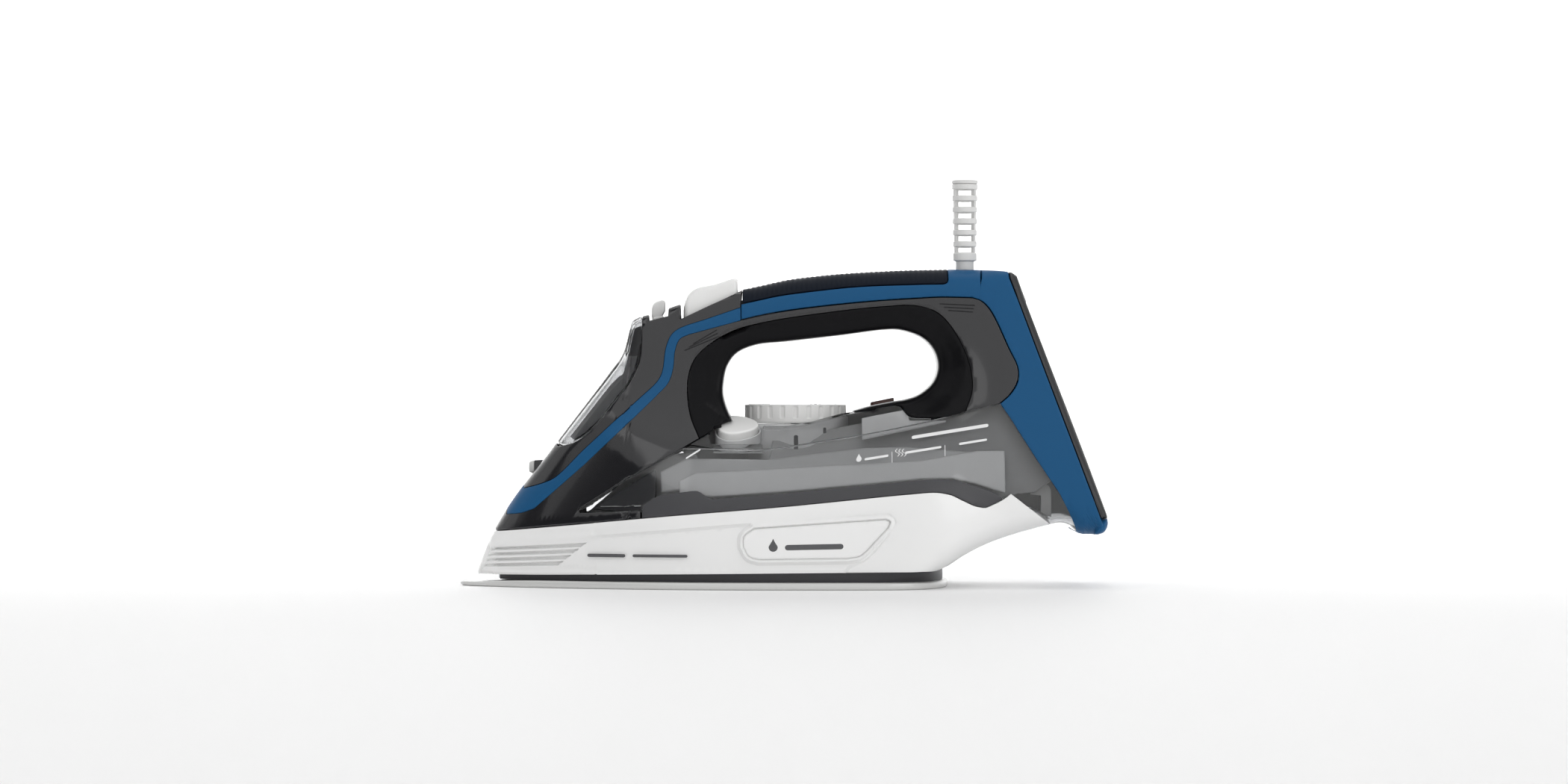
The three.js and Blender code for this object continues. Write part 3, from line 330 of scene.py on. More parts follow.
def finish_mesh(name, verts, faces, looks, replaced=(), body="casing", sharp=38, weld=True):
    """A mesh in metres from points in millimetres, riding on a body, in the place of some CAD nodes."""
    mesh = bpy.data.meshes.new(name)
    mesh.from_pydata([Vector(v) * MM for v in verts], [], faces)
    bm = bmesh.new()
    bm.from_mesh(mesh)
    if weld:
        bmesh.ops.remove_doubles(bm, verts=bm.verts, dist=WELD)
    bmesh.ops.dissolve_degenerate(bm, edges=bm.edges, dist=NO_LENGTH)
    bmesh.ops.delete(bm, geom=[v for v in bm.verts if not v.link_faces], context="VERTS")
    bm.to_mesh(mesh)
    bm.free()
    mesh.shade_smooth()
    mesh.set_sharp_from_angle(angle=math.radians(sharp))
    obj = add_object(name, mesh)
    mesh.materials.append(looks)
    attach(obj, body)
    if replaced:
        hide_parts(*replaced)
    return obj


RIM_SPACING = 0.75  # of the points along a rim, times the cell size
ROUND_SHARES = (0.134, 0.5, 1.0)  # rows of points across a narrow rounding
BROAD_ROWS = (0.3, 0.9, 1.8, 2.7, LIP, 5.2, 6.8, 8.4, 9.7, -0.7, 0.0)  # across a broad one, from either side
NOSE_ROWS = (0.1, 0.3, 0.6, 1.0, 1.6, 2.4, 3.4, 4.6)  # behind the nose, where the body closes fast
JUMP = (-80.0, -70.0)  # where the top line jumps up to the handle
MERGE = 1e-5  # points closer than this are one


def panel(
    name, loop, looks, replaced=(), body="casing", edge=0.4, wall=2.0, bridge=None, carves=(), cell=2.2,
    columns=None, shell=None, inset=0.0, relief=None, sides=(1, -1), seam=SEAM, level=False,
):
    """A casing panel on the body, inside a loop of places (x, s), on both sides of the middle.

    edge: rounding of its rim, a number or a function of (x, z). wall: how far the rim turns in.
    bridge: function of (x, z) giving the |y| that the rim runs across to, or a negative number for a plain
    rim. carves: rows of (loop, depth, width of the slope). shell: thickness of a closed shell, for clear
    pieces. inset: how far under the body's surface the whole panel lies. relief: function of (x, s) giving
    a fine drop in millimetres. columns: closer spacing along x. level: for a low panel that runs past the
    filler door, laid out so that level lines stay straight there."""

    def slip(x):
        return slide(x) if level else np.zeros(len(x))

    def unrolled(outline):
        rows = np.array(list(outline), float)
        rows[:, 1] -= slip(rows[:, 0])
        return [tuple(row) for row in rows]

    carves = [(unrolled(outline), depth, slope) for outline, depth, slope in carves]
    ring = spread(unrolled(loop), RIM_SPACING * cell)
    total = base_s(ring[:, 0]) - slip(ring[:, 0])
    on_top = ring[:, 1] < 1e-6
    on_base = ring[:, 1] > total - 0.03
    fixed = on_top | on_base
    shrunk = inward(ring, np.full(len(ring), seam))
    shrunk[on_top, 1] = 0
    shrunk[on_base, 1] = base_s(shrunk[on_base, 0]) - slip(shrunk[on_base, 0])
    within_run = [on & np.roll(on, 1) & np.roll(on, -1) for on in (on_top, on_base)]
    kept = within_run[0] | within_run[1]
    shrunk[kept, 0] = ring[kept, 0]
    ring = shrunk
    a, b = ring, np.roll(ring, -1, 0)
    symmetric = (on_top & np.roll(on_top, -1)) | (on_base & np.roll(on_base, -1))
    rim_a, rim_b = a[~symmetric], b[~symmetric]
    places = surface(ring[:, 0], ring[:, 1] + slip(ring[:, 0]))
    radius = np.array([edge(p[0], p[2]) if callable(edge) else edge for p in places])
    rim_radius = radius[~symmetric]

    points = [ring]
    edges = [(i, (i + 1) % len(ring)) for i in range(len(ring))]
    broad = radius > LIP + 0.5
    for share in ROUND_SHARES:
        moved = inward(ring, radius * share)
        moved[fixed] = ring[fixed]
        points.append(moved[~fixed & ~broad])
    for depth in BROAD_ROWS:
        depths = radius + depth if depth <= 0 else np.full(len(ring), depth)
        used = broad & (depths <= radius)
        if np.any(used):
            moved = inward(ring, depths)[used]
            away, _ = nearest(moved, rim_a, rim_b)
            points.append(moved[away > 0.93 * depths[used]])
    for outline, depth, slope in carves:
        closed = spread(outline, RIM_SPACING * cell)
        for shift in (0.0, 0.5, 1.0):
            moved = inward(closed, np.full(len(closed), slope * shift))
            first = sum(len(p) for p in points)
            points.append(moved)
            edges += [(first + i, first + (i + 1) % len(moved)) for i in range(len(moved))]
    low, high = ring.min(0), ring.max(0)
    xs = np.arange(low[0], high[0], columns or cell)
    more = np.concatenate([BODY_NOSE_X + np.array(NOSE_ROWS), np.arange(*JUMP, cell if level else 0.5)])
    more = more[(more > low[0]) & (more < high[0])]
    xs = np.unique(np.concatenate([xs[(xs < JUMP[0]) | (xs > JUMP[1])], more]))
    ss = np.arange(low[1], high[1], cell)
    grid = np.array([(x, s + (0.5 * cell if i % 2 else 0)) for i, x in enumerate(xs) for s in ss])
    grid = grid[inside(grid, ring)]
    fences = [ring] + [spread(outline, cell) for outline, depth, slope in carves]
    clear, _ = nearest(grid, np.vstack(fences), np.vstack([np.roll(fence, -1, 0) for fence in fences]))
    near_rim, rim_index = nearest(grid, rim_a, rim_b)
    room = 0.45 * (columns or cell)
    band = np.where(rim_radius > LIP + 0.5, rim_radius, 0.0)[rim_index]
    grid = grid[(clear > room) & (near_rim > band + room)]
    points.append(grid)
    points = np.vstack(points)
    made = delaunay_2d_cdt([Vector(p) for p in points], edges, [], 0, MERGE)
    flat = np.array([tuple(v) for v in made[0]])
    triangles = np.array([f for f in made[2] if len(f) == 3])
    triangles = triangles[inside(flat[triangles].mean(1), ring)]

    distance, _ = nearest(flat, rim_a, rim_b)
    down_side = flat[:, 1] + slip(flat[:, 0])
    place = surface(flat[:, 0], down_side)
    normal = normals(flat[:, 0], down_side)
    wide = rim_radius > LIP + 0.5
    if np.any(~wide):
        away, index = nearest(flat, rim_a[~wide], rim_b[~wide])
        r = np.maximum(rim_radius[~wide][index], 1e-6)
        inner = np.clip(r - away, 0, r)
        place -= normal * (r - np.sqrt(np.maximum(r**2 - inner**2, 0)))[:, None]
    if np.any(wide):
        away, index = nearest(flat, rim_a[wide], rim_b[wide])
        r = rim_radius[wide][index]
        lip = np.clip(LIP - away, 0, LIP)
        step = STEP_DEEP * (1 - ease(r - 0.7, r, away))
        place[:, 1] -= BEVEL_SLOPE * np.clip(r - away, 0, r) + step + LIP - np.sqrt(LIP**2 - lip**2)
    for outline, depth, slope in carves:
        closed = spread(outline, RIM_SPACING * cell)
        within = inside(flat, closed)
        d, _ = nearest(flat, closed, np.roll(closed, -1, 0))
        place -= normal * (within * depth * ease(0, slope, d))[:, None]
    if relief is not None:
        place -= normal * relief(flat[:, 0], flat[:, 1], distance)[:, None]
    if inset:
        place -= normal * inset

    count = {}
    for t in triangles:
        for k in range(3):
            key = (t[k], t[(k + 1) % 3])
            count[key] = count.get(key, 0) + 1
    mid = (down_side < 1e-5) | (down_side > base_s(flat[:, 0]) - 2e-3)
    place[mid, 1] = 0
    rim = [e for e in count if (e[1], e[0]) not in count and not (mid[e[0]] and mid[e[1]])]

    verts, faces = [], []
    turned = {}
    plain = surface(flat[:, 0], down_side) - normal * inset
    for i in sorted({v for e in rim for v in e}):
        p = place[i]
        across = bridge(p[0], p[2]) if bridge else -1
        if across >= 0:
            turned[i] = np.array([p[0], min(p[1], across), p[2]])
        else:
            depth = shell if shell else wall
            turned[i] = plain[i] - normal[i] * depth
            if mid[i]:
                turned[i][1] = 0
    back = place - normal * shell if shell else None
    if shell:
        back[mid, 1] = 0
    for sign in sides:
        first = len(verts)
        flip = np.array([1, sign, 1])
        verts += [tuple(p * flip) for p in place]
        faces += [tuple(first + (t if sign > 0 else t[::-1])) for t in triangles]
        inner_id = {}
        if shell:
            second = len(verts)
            verts += [tuple(p * flip) for p in back]
            faces += [tuple(second + (t[::-1] if sign > 0 else t)) for t in triangles]
            inner_id = {i: second + i for i in turned}
            for i in turned:
                verts[second + i] = tuple(turned[i] * flip)
        else:
            for i in turned:
                inner_id[i] = len(verts)
                verts.append(tuple(turned[i] * flip))
        for p, q in rim:
            quad = (first + p, inner_id[p], inner_id[q], first + q)
            faces.append(quad if sign > 0 else quad[::-1])
    return finish_mesh(name, verts, faces, looks, replaced, body)


CAP_SHARES = (0.08, 0.3, 0.62, 1.0)  # rows of points across a block's rounding


def cap(
    name, loop, looks, replaced=(), body="casing", top=0.0, low=-1.0, edge=0.5, place=None, cell=1.2,
    relief=None, both=False, holes=(), sharp=38,
):
    """A closed, round-edged block over a plan outline of (u, v), from height low to top, then placed.

    top, low and edge are numbers or functions of (u, v). both: round the lower edge too. relief: function
    of (u, v) giving what is added to the top. holes: loops left open."""

    def value(given, u, v):
        return given(u, v) if callable(given) else np.full(np.shape(u), float(given))

    def solid(places):
        keep = inside(places, rings[0])
        for ring in rings[1:]:
            keep &= ~inside(places, ring)
        return keep

    rings = [spread(list(loop), 0.8 * cell)] + [spread(list(h), 0.8 * cell) for h in holes]
    points, edges, rim_a, rim_b = [], [], [], []
    first = 0
    for ring in rings:
        points.append(ring)
        edges += [(first + i, first + (i + 1) % len(ring)) for i in range(len(ring))]
        rim_a.append(ring)
        rim_b.append(np.roll(ring, -1, 0))
        first += len(ring)
    rim_a, rim_b = np.vstack(rim_a), np.vstack(rim_b)
    for number, ring in enumerate(rings):
        radius = value(edge, ring[:, 0], ring[:, 1])
        for share in CAP_SHARES:
            moved = inward(ring, radius * share * (1 if number == 0 else -1))
            away, _ = nearest(moved, rim_a, rim_b)
            points.append(moved[away > radius * share * 0.8])
    us, vs = (np.arange(rings[0][:, k].min(), rings[0][:, k].max(), cell) for k in (0, 1))
    grid = np.array([(u, v + (0.5 * cell if i % 2 else 0)) for i, u in enumerate(us) for v in vs])
    away, _ = nearest(grid, rim_a, rim_b)
    points.append(grid[solid(grid) & (away > 0.4 * cell)])
    made = delaunay_2d_cdt([Vector(p) for p in np.vstack(points)], edges, [], 0, MERGE)
    flat = np.array([tuple(v) for v in made[0]])
    triangles = np.array([f for f in made[2] if len(f) == 3])
    triangles = triangles[solid(flat[triangles].mean(1))]
    u, v = flat[:, 0], flat[:, 1]
    distance, index = nearest(flat, rim_a, rim_b)
    r = np.maximum(value(edge, rim_a[index, 0], rim_a[index, 1]), 1e-6)
    inner = np.clip(r - distance, 0, r)
    drop = r - np.sqrt(np.maximum(r**2 - inner**2, 0))
    high = value(top, u, v) - drop
    if relief is not None:
        high = high + relief(u, v)
    deep = value(low, u, v) + (drop if both else 0)
    verts = list(zip(u, v, high)) + list(zip(u, v, deep))
    n = len(u)
    faces = [tuple(t) for t in triangles] + [tuple(t[::-1] + n) for t in triangles]
    count = {(t[k], t[(k + 1) % 3]) for t in triangles for k in range(3)}
    faces += [(a, a + n, b + n, b) for a, b in count if (b, a) not in count]
    if place is not None:
        verts = [tuple(place @ Vector(p)) for p in verts]
    return finish_mesh(name, verts, faces, looks, replaced, body, sharp)


def grown(loop, distance):
    """A closed loop moved outwards."""
    ring = np.array(loop, float)
    return [tuple(p) for p in inward(ring, np.full(len(ring), -distance))]


def on_side(y=0.0):
    """The placement that stands a plan outline up in the side view, its height running towards -Y."""
    return Matrix.Translation((0, y, 0)) @ Matrix.Rotation(math.pi / 2, 4, "X")


def circle(x, y, r, n):
    turns = [2 * math.pi * i / n for i in range(n)]
    return [(x + r * math.cos(a), y + r * math.sin(a)) for a in turns]


def turned_faces(first, n, m, closed=False):
    """The faces between n profiles of m points each, set round an axis. closed: the profile is a loop."""
    faces = []
    for i in range(n):
        a, b = first + i * m, first + (i + 1) % n * m
        for k in range(m if closed else m - 1):
            faces.append((a + k, b + k, b + (k + 1) % m, a + (k + 1) % m))
    return faces


def ring_faces(first, rings, n, closed=False):
    """The faces between rings of n points each, one after another. closed: the last joins the first."""
    faces = []
    for k in range(rings if closed else rings - 1):
        a, b = first + k * n, first + (k + 1) % rings * n
        faces += [(a + (i + 1) % n, a + i, b + i, b + (i + 1) % n) for i in range(n)]
    return faces


def lathe(name, profile, looks, replaced=(), body="casing", place=None, n=64, shape=None, sharp=38):
    """A turned piece from (radius, height) rows. shape: a new radius from (radius, height, angle)."""
    verts = []
    for i in range(n):
        a = 2 * math.pi * i / n
        for r, z in profile:
            radius = shape(r, z, a) if shape else r
            verts.append((radius * math.cos(a), radius * math.sin(a), z))
    faces = turned_faces(0, n, len(profile))
    if place is not None:
        verts = [tuple(place @ Vector(p)) for p in verts]
    return finish_mesh(name, verts, faces, looks, replaced, body, sharp)


def rounded(corners, radius, steps=4):
    """Profile rows with every inner corner rounded off."""
    out = [corners[0]]
    for a, b, c in zip(corners, corners[1:], corners[2:]):
        a, b, c = (np.array(p, float) for p in (a, b, c))
        reach = min(radius, 0.49 * np.linalg.norm(a - b), 0.49 * np.linalg.norm(c - b))
        start = b + (a - b) / np.linalg.norm(a - b) * reach
        end = b + (c - b) / np.linalg.norm(c - b) * reach
        for i in range(steps + 1):
            t = i / steps
            out.append(tuple(start * (1 - t) ** 2 + 2 * b * t * (1 - t) + end * t * t))
    out.append(corners[-1])
    return out


def rounded_loop(corners, radius, steps):
    """A closed loop with its corners rounded off. Most of the second corner is left out, so the side from the
    first corner to the second runs slanted."""
    return rounded(corners + corners[:2], radius, steps)[steps + 1 : -1]


WEAR_SCALE = 35  # clouds of wear per metre


def look(
    name, color, roughness, metallic=0.0, clear=0.0, coat=0.0, ior=1.5, fine=None, wear=0.0,
    under=0.0,
):
    """A moulded or metal finish, made as a new material of the given name.

    fine: (grains per metre, depth) of its surface. wear: how much its gloss varies. under: light let in."""
    made = bpy.data.materials.new(name)
    made.use_nodes = True
    nodes, links = made.node_tree.nodes, made.node_tree.links
    shader = nodes["Principled BSDF"]
    settings = {
        "Base Color": (*color, 1), "Roughness": roughness, "Metallic": metallic, "IOR": ior,
        "Transmission Weight": clear, "Coat Weight": coat, "Subsurface Weight": under,
        "Subsurface Radius": (0.004, 0.004, 0.004),
    }
    for socket, value in settings.items():
        shader.inputs[socket].default_value = value
    coordinates = nodes.new("ShaderNodeTexCoord")

    def noise(scale, detail):
        cloud = nodes.new("ShaderNodeTexNoise")
        cloud.inputs["Scale"].default_value = scale
        cloud.inputs["Detail"].default_value = detail
        links.new(coordinates.outputs["Object"], cloud.inputs["Vector"])
        return cloud.outputs["Fac"]

    if wear:
        span = nodes.new("ShaderNodeMapRange")
        span.inputs["To Min"].default_value = max(roughness - wear, 0.02)
        span.inputs["To Max"].default_value = roughness + wear
        links.new(noise(WEAR_SCALE, 6), span.inputs["Value"])
        links.new(span.outputs["Result"], shader.inputs["Roughness"])
    if fine:
        bump = nodes.new("ShaderNodeBump")
        bump.inputs["Distance"].default_value = fine[1]
        bump.inputs["Strength"].default_value = 0.5
        links.new(noise(fine[0], 3), bump.inputs["Height"])
        links.new(bump.outputs["Normal"], shader.inputs["Normal"])
    return made


# surface grains: (grains per metre, depth in metres)
SATIN, GLOSSY, MATT, FINE = (900, 0.00001), (700, 0.00001), (2500, 0.00003), (2500, 0.00002)
WAVY, INNER = (60, 0.00002), (1500, 0.00002)

BLACK = look("black_gloss", (0.012, 0.012, 0.014), 0.12, coat=0.4, wear=0.03, fine=SATIN)
DEEP_BLACK = look("black_deep", (0.008, 0.008, 0.009), 0.2, ior=1.16, wear=0.03, fine=SATIN)
BLUE = look("blue_plastic", (0.010, 0.086, 0.210), 0.38, ior=1.25, wear=0.05, fine=FINE)
WHITE = look("white_plastic", (0.88, 0.88, 0.875), 0.22, coat=0.3, wear=0.04, fine=GLOSSY, under=0.08)
BUTTON = look("button_plastic", (0.84, 0.84, 0.83), 0.25, coat=0.2, wear=0.04, fine=SATIN, under=0.08)
PALE = look("pale_plastic", (0.56, 0.56, 0.55), 0.45, wear=0.06, fine=MATT)
DIAL = look("dial_plastic", (0.72, 0.72, 0.71), 0.32, wear=0.05, fine=(2000, 0.00002), under=0.05)
PLATE = look("heel_plastic", (0.02, 0.02, 0.022), 0.4, wear=0.06, fine=MATT)
DARK = look("dark_plastic", (0.045, 0.045, 0.05), 0.4, wear=0.06, fine=MATT)
GRIP = look("grip_rubber", (0.006, 0.009, 0.016), 0.5, ior=1.2, wear=0.05, fine=(3000, 0.00003))
BOOT = look("boot_rubber", (0.72, 0.72, 0.71), 0.5, wear=0.06, fine=(2500, 0.00004), under=0.1)
SMOKE = look("smoked_clear", (0.84, 0.845, 0.85), 0.04, clear=1.0, ior=1.45, fine=WAVY)
DOOR = look("door_clear", (0.6, 0.605, 0.61), 0.05, clear=1.0, ior=1.22, fine=WAVY)
FROST = look("frosted_clear", (0.72, 0.73, 0.74), 0.35, clear=0.75, ior=1.3, wear=0.06)
CERAMIC = look(
    "ceramic_coat", (0.62, 0.62, 0.61), 0.3, metallic=0.1, coat=0.3, wear=0.06, fine=(4000, 0.00001),
)
BADGE_LOOK = look(
    "badge_plastic", (0.9, 0.9, 0.895), 0.18, coat=0.3, wear=0.04, fine=GLOSSY, under=0.05,
)
LINER = look("tank_liner", (0.7, 0.705, 0.71), 0.35, wear=0.05, fine=INNER, under=0.1)
TANK = look("tank_wall", (0.5, 0.505, 0.51), 0.35, wear=0.05, fine=INNER, under=0.1)
PRINT = look("white_print", (0.85, 0.85, 0.85), 0.5, wear=0.05)
DARK_PRINT = look("grey_print", (0.09, 0.09, 0.095), 0.45, wear=0.05)
CORE = look("tank_core", (0.31, 0.312, 0.316), 0.4, wear=0.05, fine=(1200, 0.00003))
AMBER = look("lamp_lens", (0.05, 0.014, 0.008), 0.12, clear=0.1, ior=1.45, wear=0.03)
ALUMINIUM = look("cast_aluminium", (0.5, 0.51, 0.52), 0.45, metallic=0.9, wear=0.08, fine=(1800, 0.00006))
STEEL = look("plain_steel", (0.55, 0.56, 0.57), 0.28, metallic=1.0, wear=0.06)
BRASS = look("brass", (0.6, 0.45, 0.2), 0.3, metallic=1.0, wear=0.06)

SLOT_LOOKS = {
    "black_gloss": BLACK, "blue_plastic": BLUE, "white_plastic": WHITE, "button_plastic": BUTTON,
    "pale_plastic": PALE, "dial_plastic": DIAL, "dark_plastic": DARK, "grip_rubber": GRIP,
    "boot_rubber": BOOT, "smoked_clear": SMOKE, "frosted_clear": FROST, "sole": CERAMIC,
    "cast_aluminium": ALUMINIUM, "steel": STEEL, "brass": BRASS, "badge": WHITE, "lens": BUTTON,
}
for part in frame["record"]["subparts"]:
    node = frame["nodes"][part["node"]]
    node.data.materials.clear()
    node.data.materials.append(SLOT_LOOKS[part["material_slot"]])

# ---------------------------------------------------------------- seams in the side view
skirt_top = smooth([
    (-150, 26.7), (-141, 27.2), (-104, 30.5), (-52, 35.4), (4, 40.1), (28, 42.5), (60, 45.7), (72.6, 46.6),
    (79.7, 45.6), (86.8, 42.4), (92.8, 39.8), (96.9, 39.1), (100.5, 40.4), (106.5, 43.5), (109.5, 45.9),
])
skirt_foot = smooth([(-150, 5.3), (-139, 5.5), (-82, 6.7), (-31, 7.4), (51, 8.2), (80, 8.4)])


def run(curve, start, end, step=1.5):
    """Side-view points along a curve of heights, from one x to another."""
    n = max(2, math.ceil(abs(end - start) / step))
    return [(x, float(curve(x))) for x in np.linspace(start, end, n + 1).tolist()]


BAND_TOP = trace(
    (-67.6, 37.9), [(-66.4, 40.2), (-60, 44.8)], (-58, 45.3), (-43.5, 47.3), [(-41, 47.3), (-39.2, 46.6)],
    (-35.2, 43.9), [(-34.2, 43.4), (-32, 43.5)], (4.2, 46.5), (27.7, 48.9), (62, 52.2),
    [(72.7, 53), (82.2, 52.4), (92.9, 49.4), (101.2, 46.5), (105, 44.2)],
)
DOOR_SEAM = trace([
    (-107.3, 68.8), (-102, 70), (-96.4, 73.2), (-89.5, 79.6), (-82, 89), (-75.6, 97.2), (-72, 103.1),
    (-69.3, 110), (-68.5, 118), (-68.5, 129.6),
])
OPENING = trace([
    (-24.2, 80.5), (-27.4, 87.8), (-28.9, 94), (-28.6, 100), (-27, 107), (-22.6, 113.2), (-13.3, 117.3),
    (1.7, 119), (27.2, 121.9), (50.4, 124.8), (57.3, 124.6), (67.8, 120.8), (73.5, 114.4), (75.2, 106.3),
    (72.8, 99.3), (66.4, 93.6), (60, 91.2), (53.6, 90.1), (42, 87.8), (34.2, 85.6),
])
POST_FOOT = trace(
    (34.4, 84.8), [(42.5, 86.4), (54, 88.5)],
    [(57.5, 87.6), (59.6, 84.6), (62.5, 82.8), (70, 82.3), (78.1, 82.6), (88, 85)],
)
POST_HEEL = [(94.8, 86.7), (104.4, 88.9)]
SURROUND = trace(
    (-40.2, 72.4),
    [(-44.2, 82), (-46, 92), (-46, 101), (-42.6, 110.6), (-35, 118), (-23.4, 124.4), (-8.4, 128.4),
     (21.6, 133), (50, 136), (65, 136.3), (75.5, 132.6), (84.6, 121.5), (90.6, 106.5), (91.4, 95), (88, 85)],
)
HEEL_SEAM = trace((92, 140.1), [
    (95.9, 138.7), (100.3, 134.3), (109, 116), (113.4, 106.1), (113, 99.4), (109.4, 93.4), (104.4, 88.9),
])
HANDLE_SEAM = trace((-20.3, 129.3), [
    (-10.2, 131.6), (4.7, 134.2), (39.7, 138.1), (66.1, 139.9), (76.6, 140.4), (92, 140.1),
])
TANK_FRONT = trace((-98.1, 37.6), (-76.1, 51.6), (-48.6, 67.1))
TANK_SEAM = trace((-31.5, 66.9), [
    (-8.4, 66.6), (18, 70.3), (47.4, 75.2), (77.5, 81.7), (94.8, 86.3), (104.2, 88.6),
])
DECK = trace((-33, 77.9), [(-20, 78.2), (0, 78.1), (11, 79.7), (30.3, 84.4), (36.7, 85.6), (42.3, 86.1)])
HEEL_FRONT = [(109, 82.2), (122.4, 60.8), (132.7, 45.3), (138.1, 34.3), (140.6, 28.6)]
STRIPE_LOW = trace(
    (-134.6, 35), [(-127, 35.8), (-120.5, 38)], (-110.1, 46.9), (-96, 59.2), (-71.4, 82.4), (-61.6, 92.1),
    [(-55.3, 99.1), (-53, 106.2), (-52.2, 114.1), (-49.9, 120), (-45.7, 122.2)],
    (-27.2, 127.2), (-20.35, 129.1),
)
STRIPE_HIGH = trace(
    (-20.35, 135.7), (-36.5, 130.2),
    [(-50.3, 125.4), (-54.2, 122.2), (-56.9, 115.6), (-58.5, 104.6), (-60.8, 99.9), (-69.4, 91.6)],
    (-97, 66.1), [(-110.3, 53.4), (-117.6, 50.3), (-125.9, 48)],
)

# ---------------------------------------------------------------- casings
def rear_line(depth, z):
    """The x of the line that lies a depth inside the flat back, at height z."""
    run_x, run_z = REAR_FOOT[0] - REAR_TOP[0], REAR_FOOT[1] - REAR_TOP[1]
    length = math.hypot(run_x, run_z)
    x0, z0 = REAR_TOP[0] + depth * run_z / length, REAR_TOP[1] - depth * run_x / length
    return x0 + (z - z0) * run_x / run_z


def make_skirt():
    loop = (
        middle(-141.0)
        + side(run(skirt_top, -140.7, 109.5) + [(129, 30.6)])
        + under(129.2, 73.4)
        + side([(73.2, 8.42)] + run(skirt_foot, 72, -149.2))
        + middle(-149.3)
    )
    recess = side(
        run(skirt_foot, -148, 30)
        + trace(
            (32.3, 10.1), (39.4, 13.6), (44.1, 17.7), [(53, 28.9), (54.4, 33.2), (51.2, 36.4), (44.1, 36.6)],
        )
        + [(-31.4, 30.7), (-81.9, 26.3), (-133.7, 22.5), (-143.6, 21.6)]
    )
    louvres = []
    for i in range(4):
        z, x = 20.6 - 3 * i, -97 - 3.8 * i
        groove = [(-144.9 - 0.9 * i, z - 3.4 + 0.3 * i), (x - 1, z - 0.9), (x + 2.4, z + 1.5), (x, z + 1.3)]
        louvres.append((side(groove + [(-143.6 - 0.9 * i, z - 1.7 + 0.3 * i)]), 2.2, 0.35))
    panel(
        "skirt_shell", loop, WHITE, ("skirt",), edge=0.5, wall=2.6, level=True,
        carves=[(recess, 1.5, 1.5), (BADGE_RIDGE, -1.7, 1.6), (BADGE_POCKET, 2.5, 0.8)] + louvres,
    )


BADGE = trace(
    (-18.9, 20.5), [(-18.6, 25.4), (-13.7, 29.3)], (49, 33.7), [(51.2, 32.6), (50.2, 29.6)],
    (39.8, 18.4), [(36.5, 16), (31.1, 15)], (-11.4, 14.4), [(-16.2, 15.9), (-18.9, 20.5)],
)
BADGE_LOOP = side(BADGE[:-1])
BADGE_DEEP = 0.9
BADGE_POCKET = grown(BADGE_LOOP, 0.6)
BADGE_RIDGE = grown(BADGE_LOOP, 2.8)


def make_badges():
    for name, sign in (("badge_plate_left", -1), ("badge_plate_right", 1)):
        panel(
            name + "_face", BADGE_LOOP, BADGE_LOOK, (name,), edge=1.0, wall=1.6, sides=(sign,), seam=0.0,
            inset=BADGE_DEEP,
        )


def make_tank_base():
    loop = side(BAND_TOP + run(skirt_top, 105.2, -67.6))
    panel("tank_base_band", loop, DARK, ("tank_base",), edge=0.35, wall=2.2, level=True)


def make_window():
    loop = (
        side(TANK_FRONT + TANK_SEAM + HEEL_FRONT)
        + under(141.0, 130.0)
        + side([(129.6, 30.6), (109.8, 46.2), (107, 43.9), (105.4, 44.4)] + BAND_TOP[::-1])
        + side([(-67.8, 38.3), (-96.9, 37)])
    )
    panel(
        "tank_window_clear", loop, SMOKE, ("tank_window",), edge=0.18, shell=1.9, inset=0.3, seam=-0.8,
        level=True,
    )


deck_height = smooth([
    (-33, 77.9), (-20, 78.2), (0, 78.25), (11, 79.7), (30.3, 84.4), (42.3, 86.1), (54, 88.2),
])


def make_tank_cover():
    rear = [(54, 88.2)] + trace((57, 87.5), [(59.2, 84.4), (61.5, 82.6), (71.6, 81.9)]) + [(71.6, 80.7)]
    foot = run(smooth([(-31.5, 67.1), (-8.4, 66.8), (18, 70.5), (47.4, 75.4), (77.5, 81.9)]), 71, -31.5)
    pocket = [(-35, 70.6), (-34, 69.6), (-11.6, 69.6), (-10.4, 71), (-9.6, 78.2)]
    pocket += [p for p in DECK if p[0] > -8]

    def deck(x, z):
        if z > 77 and x < 43 and z > deck_height(x) - 3:
            return float(half_width(x, deck_height(x))) - 2.4
        return -1

    for name, sign, brow in (("left", -1, pocket), ("right", 1, DECK)):
        panel(
            "tank_cover_" + name, side([(-44.9, 69.2), (-35.6, 74.6)] + brow + rear + foot), SMOKE,
            ("tank_cover",), wall=0.8, bridge=deck, sides=(sign,),
            edge=lambda x, z: 1.9 if deck(x, z) >= 0 else 0.2,
        )


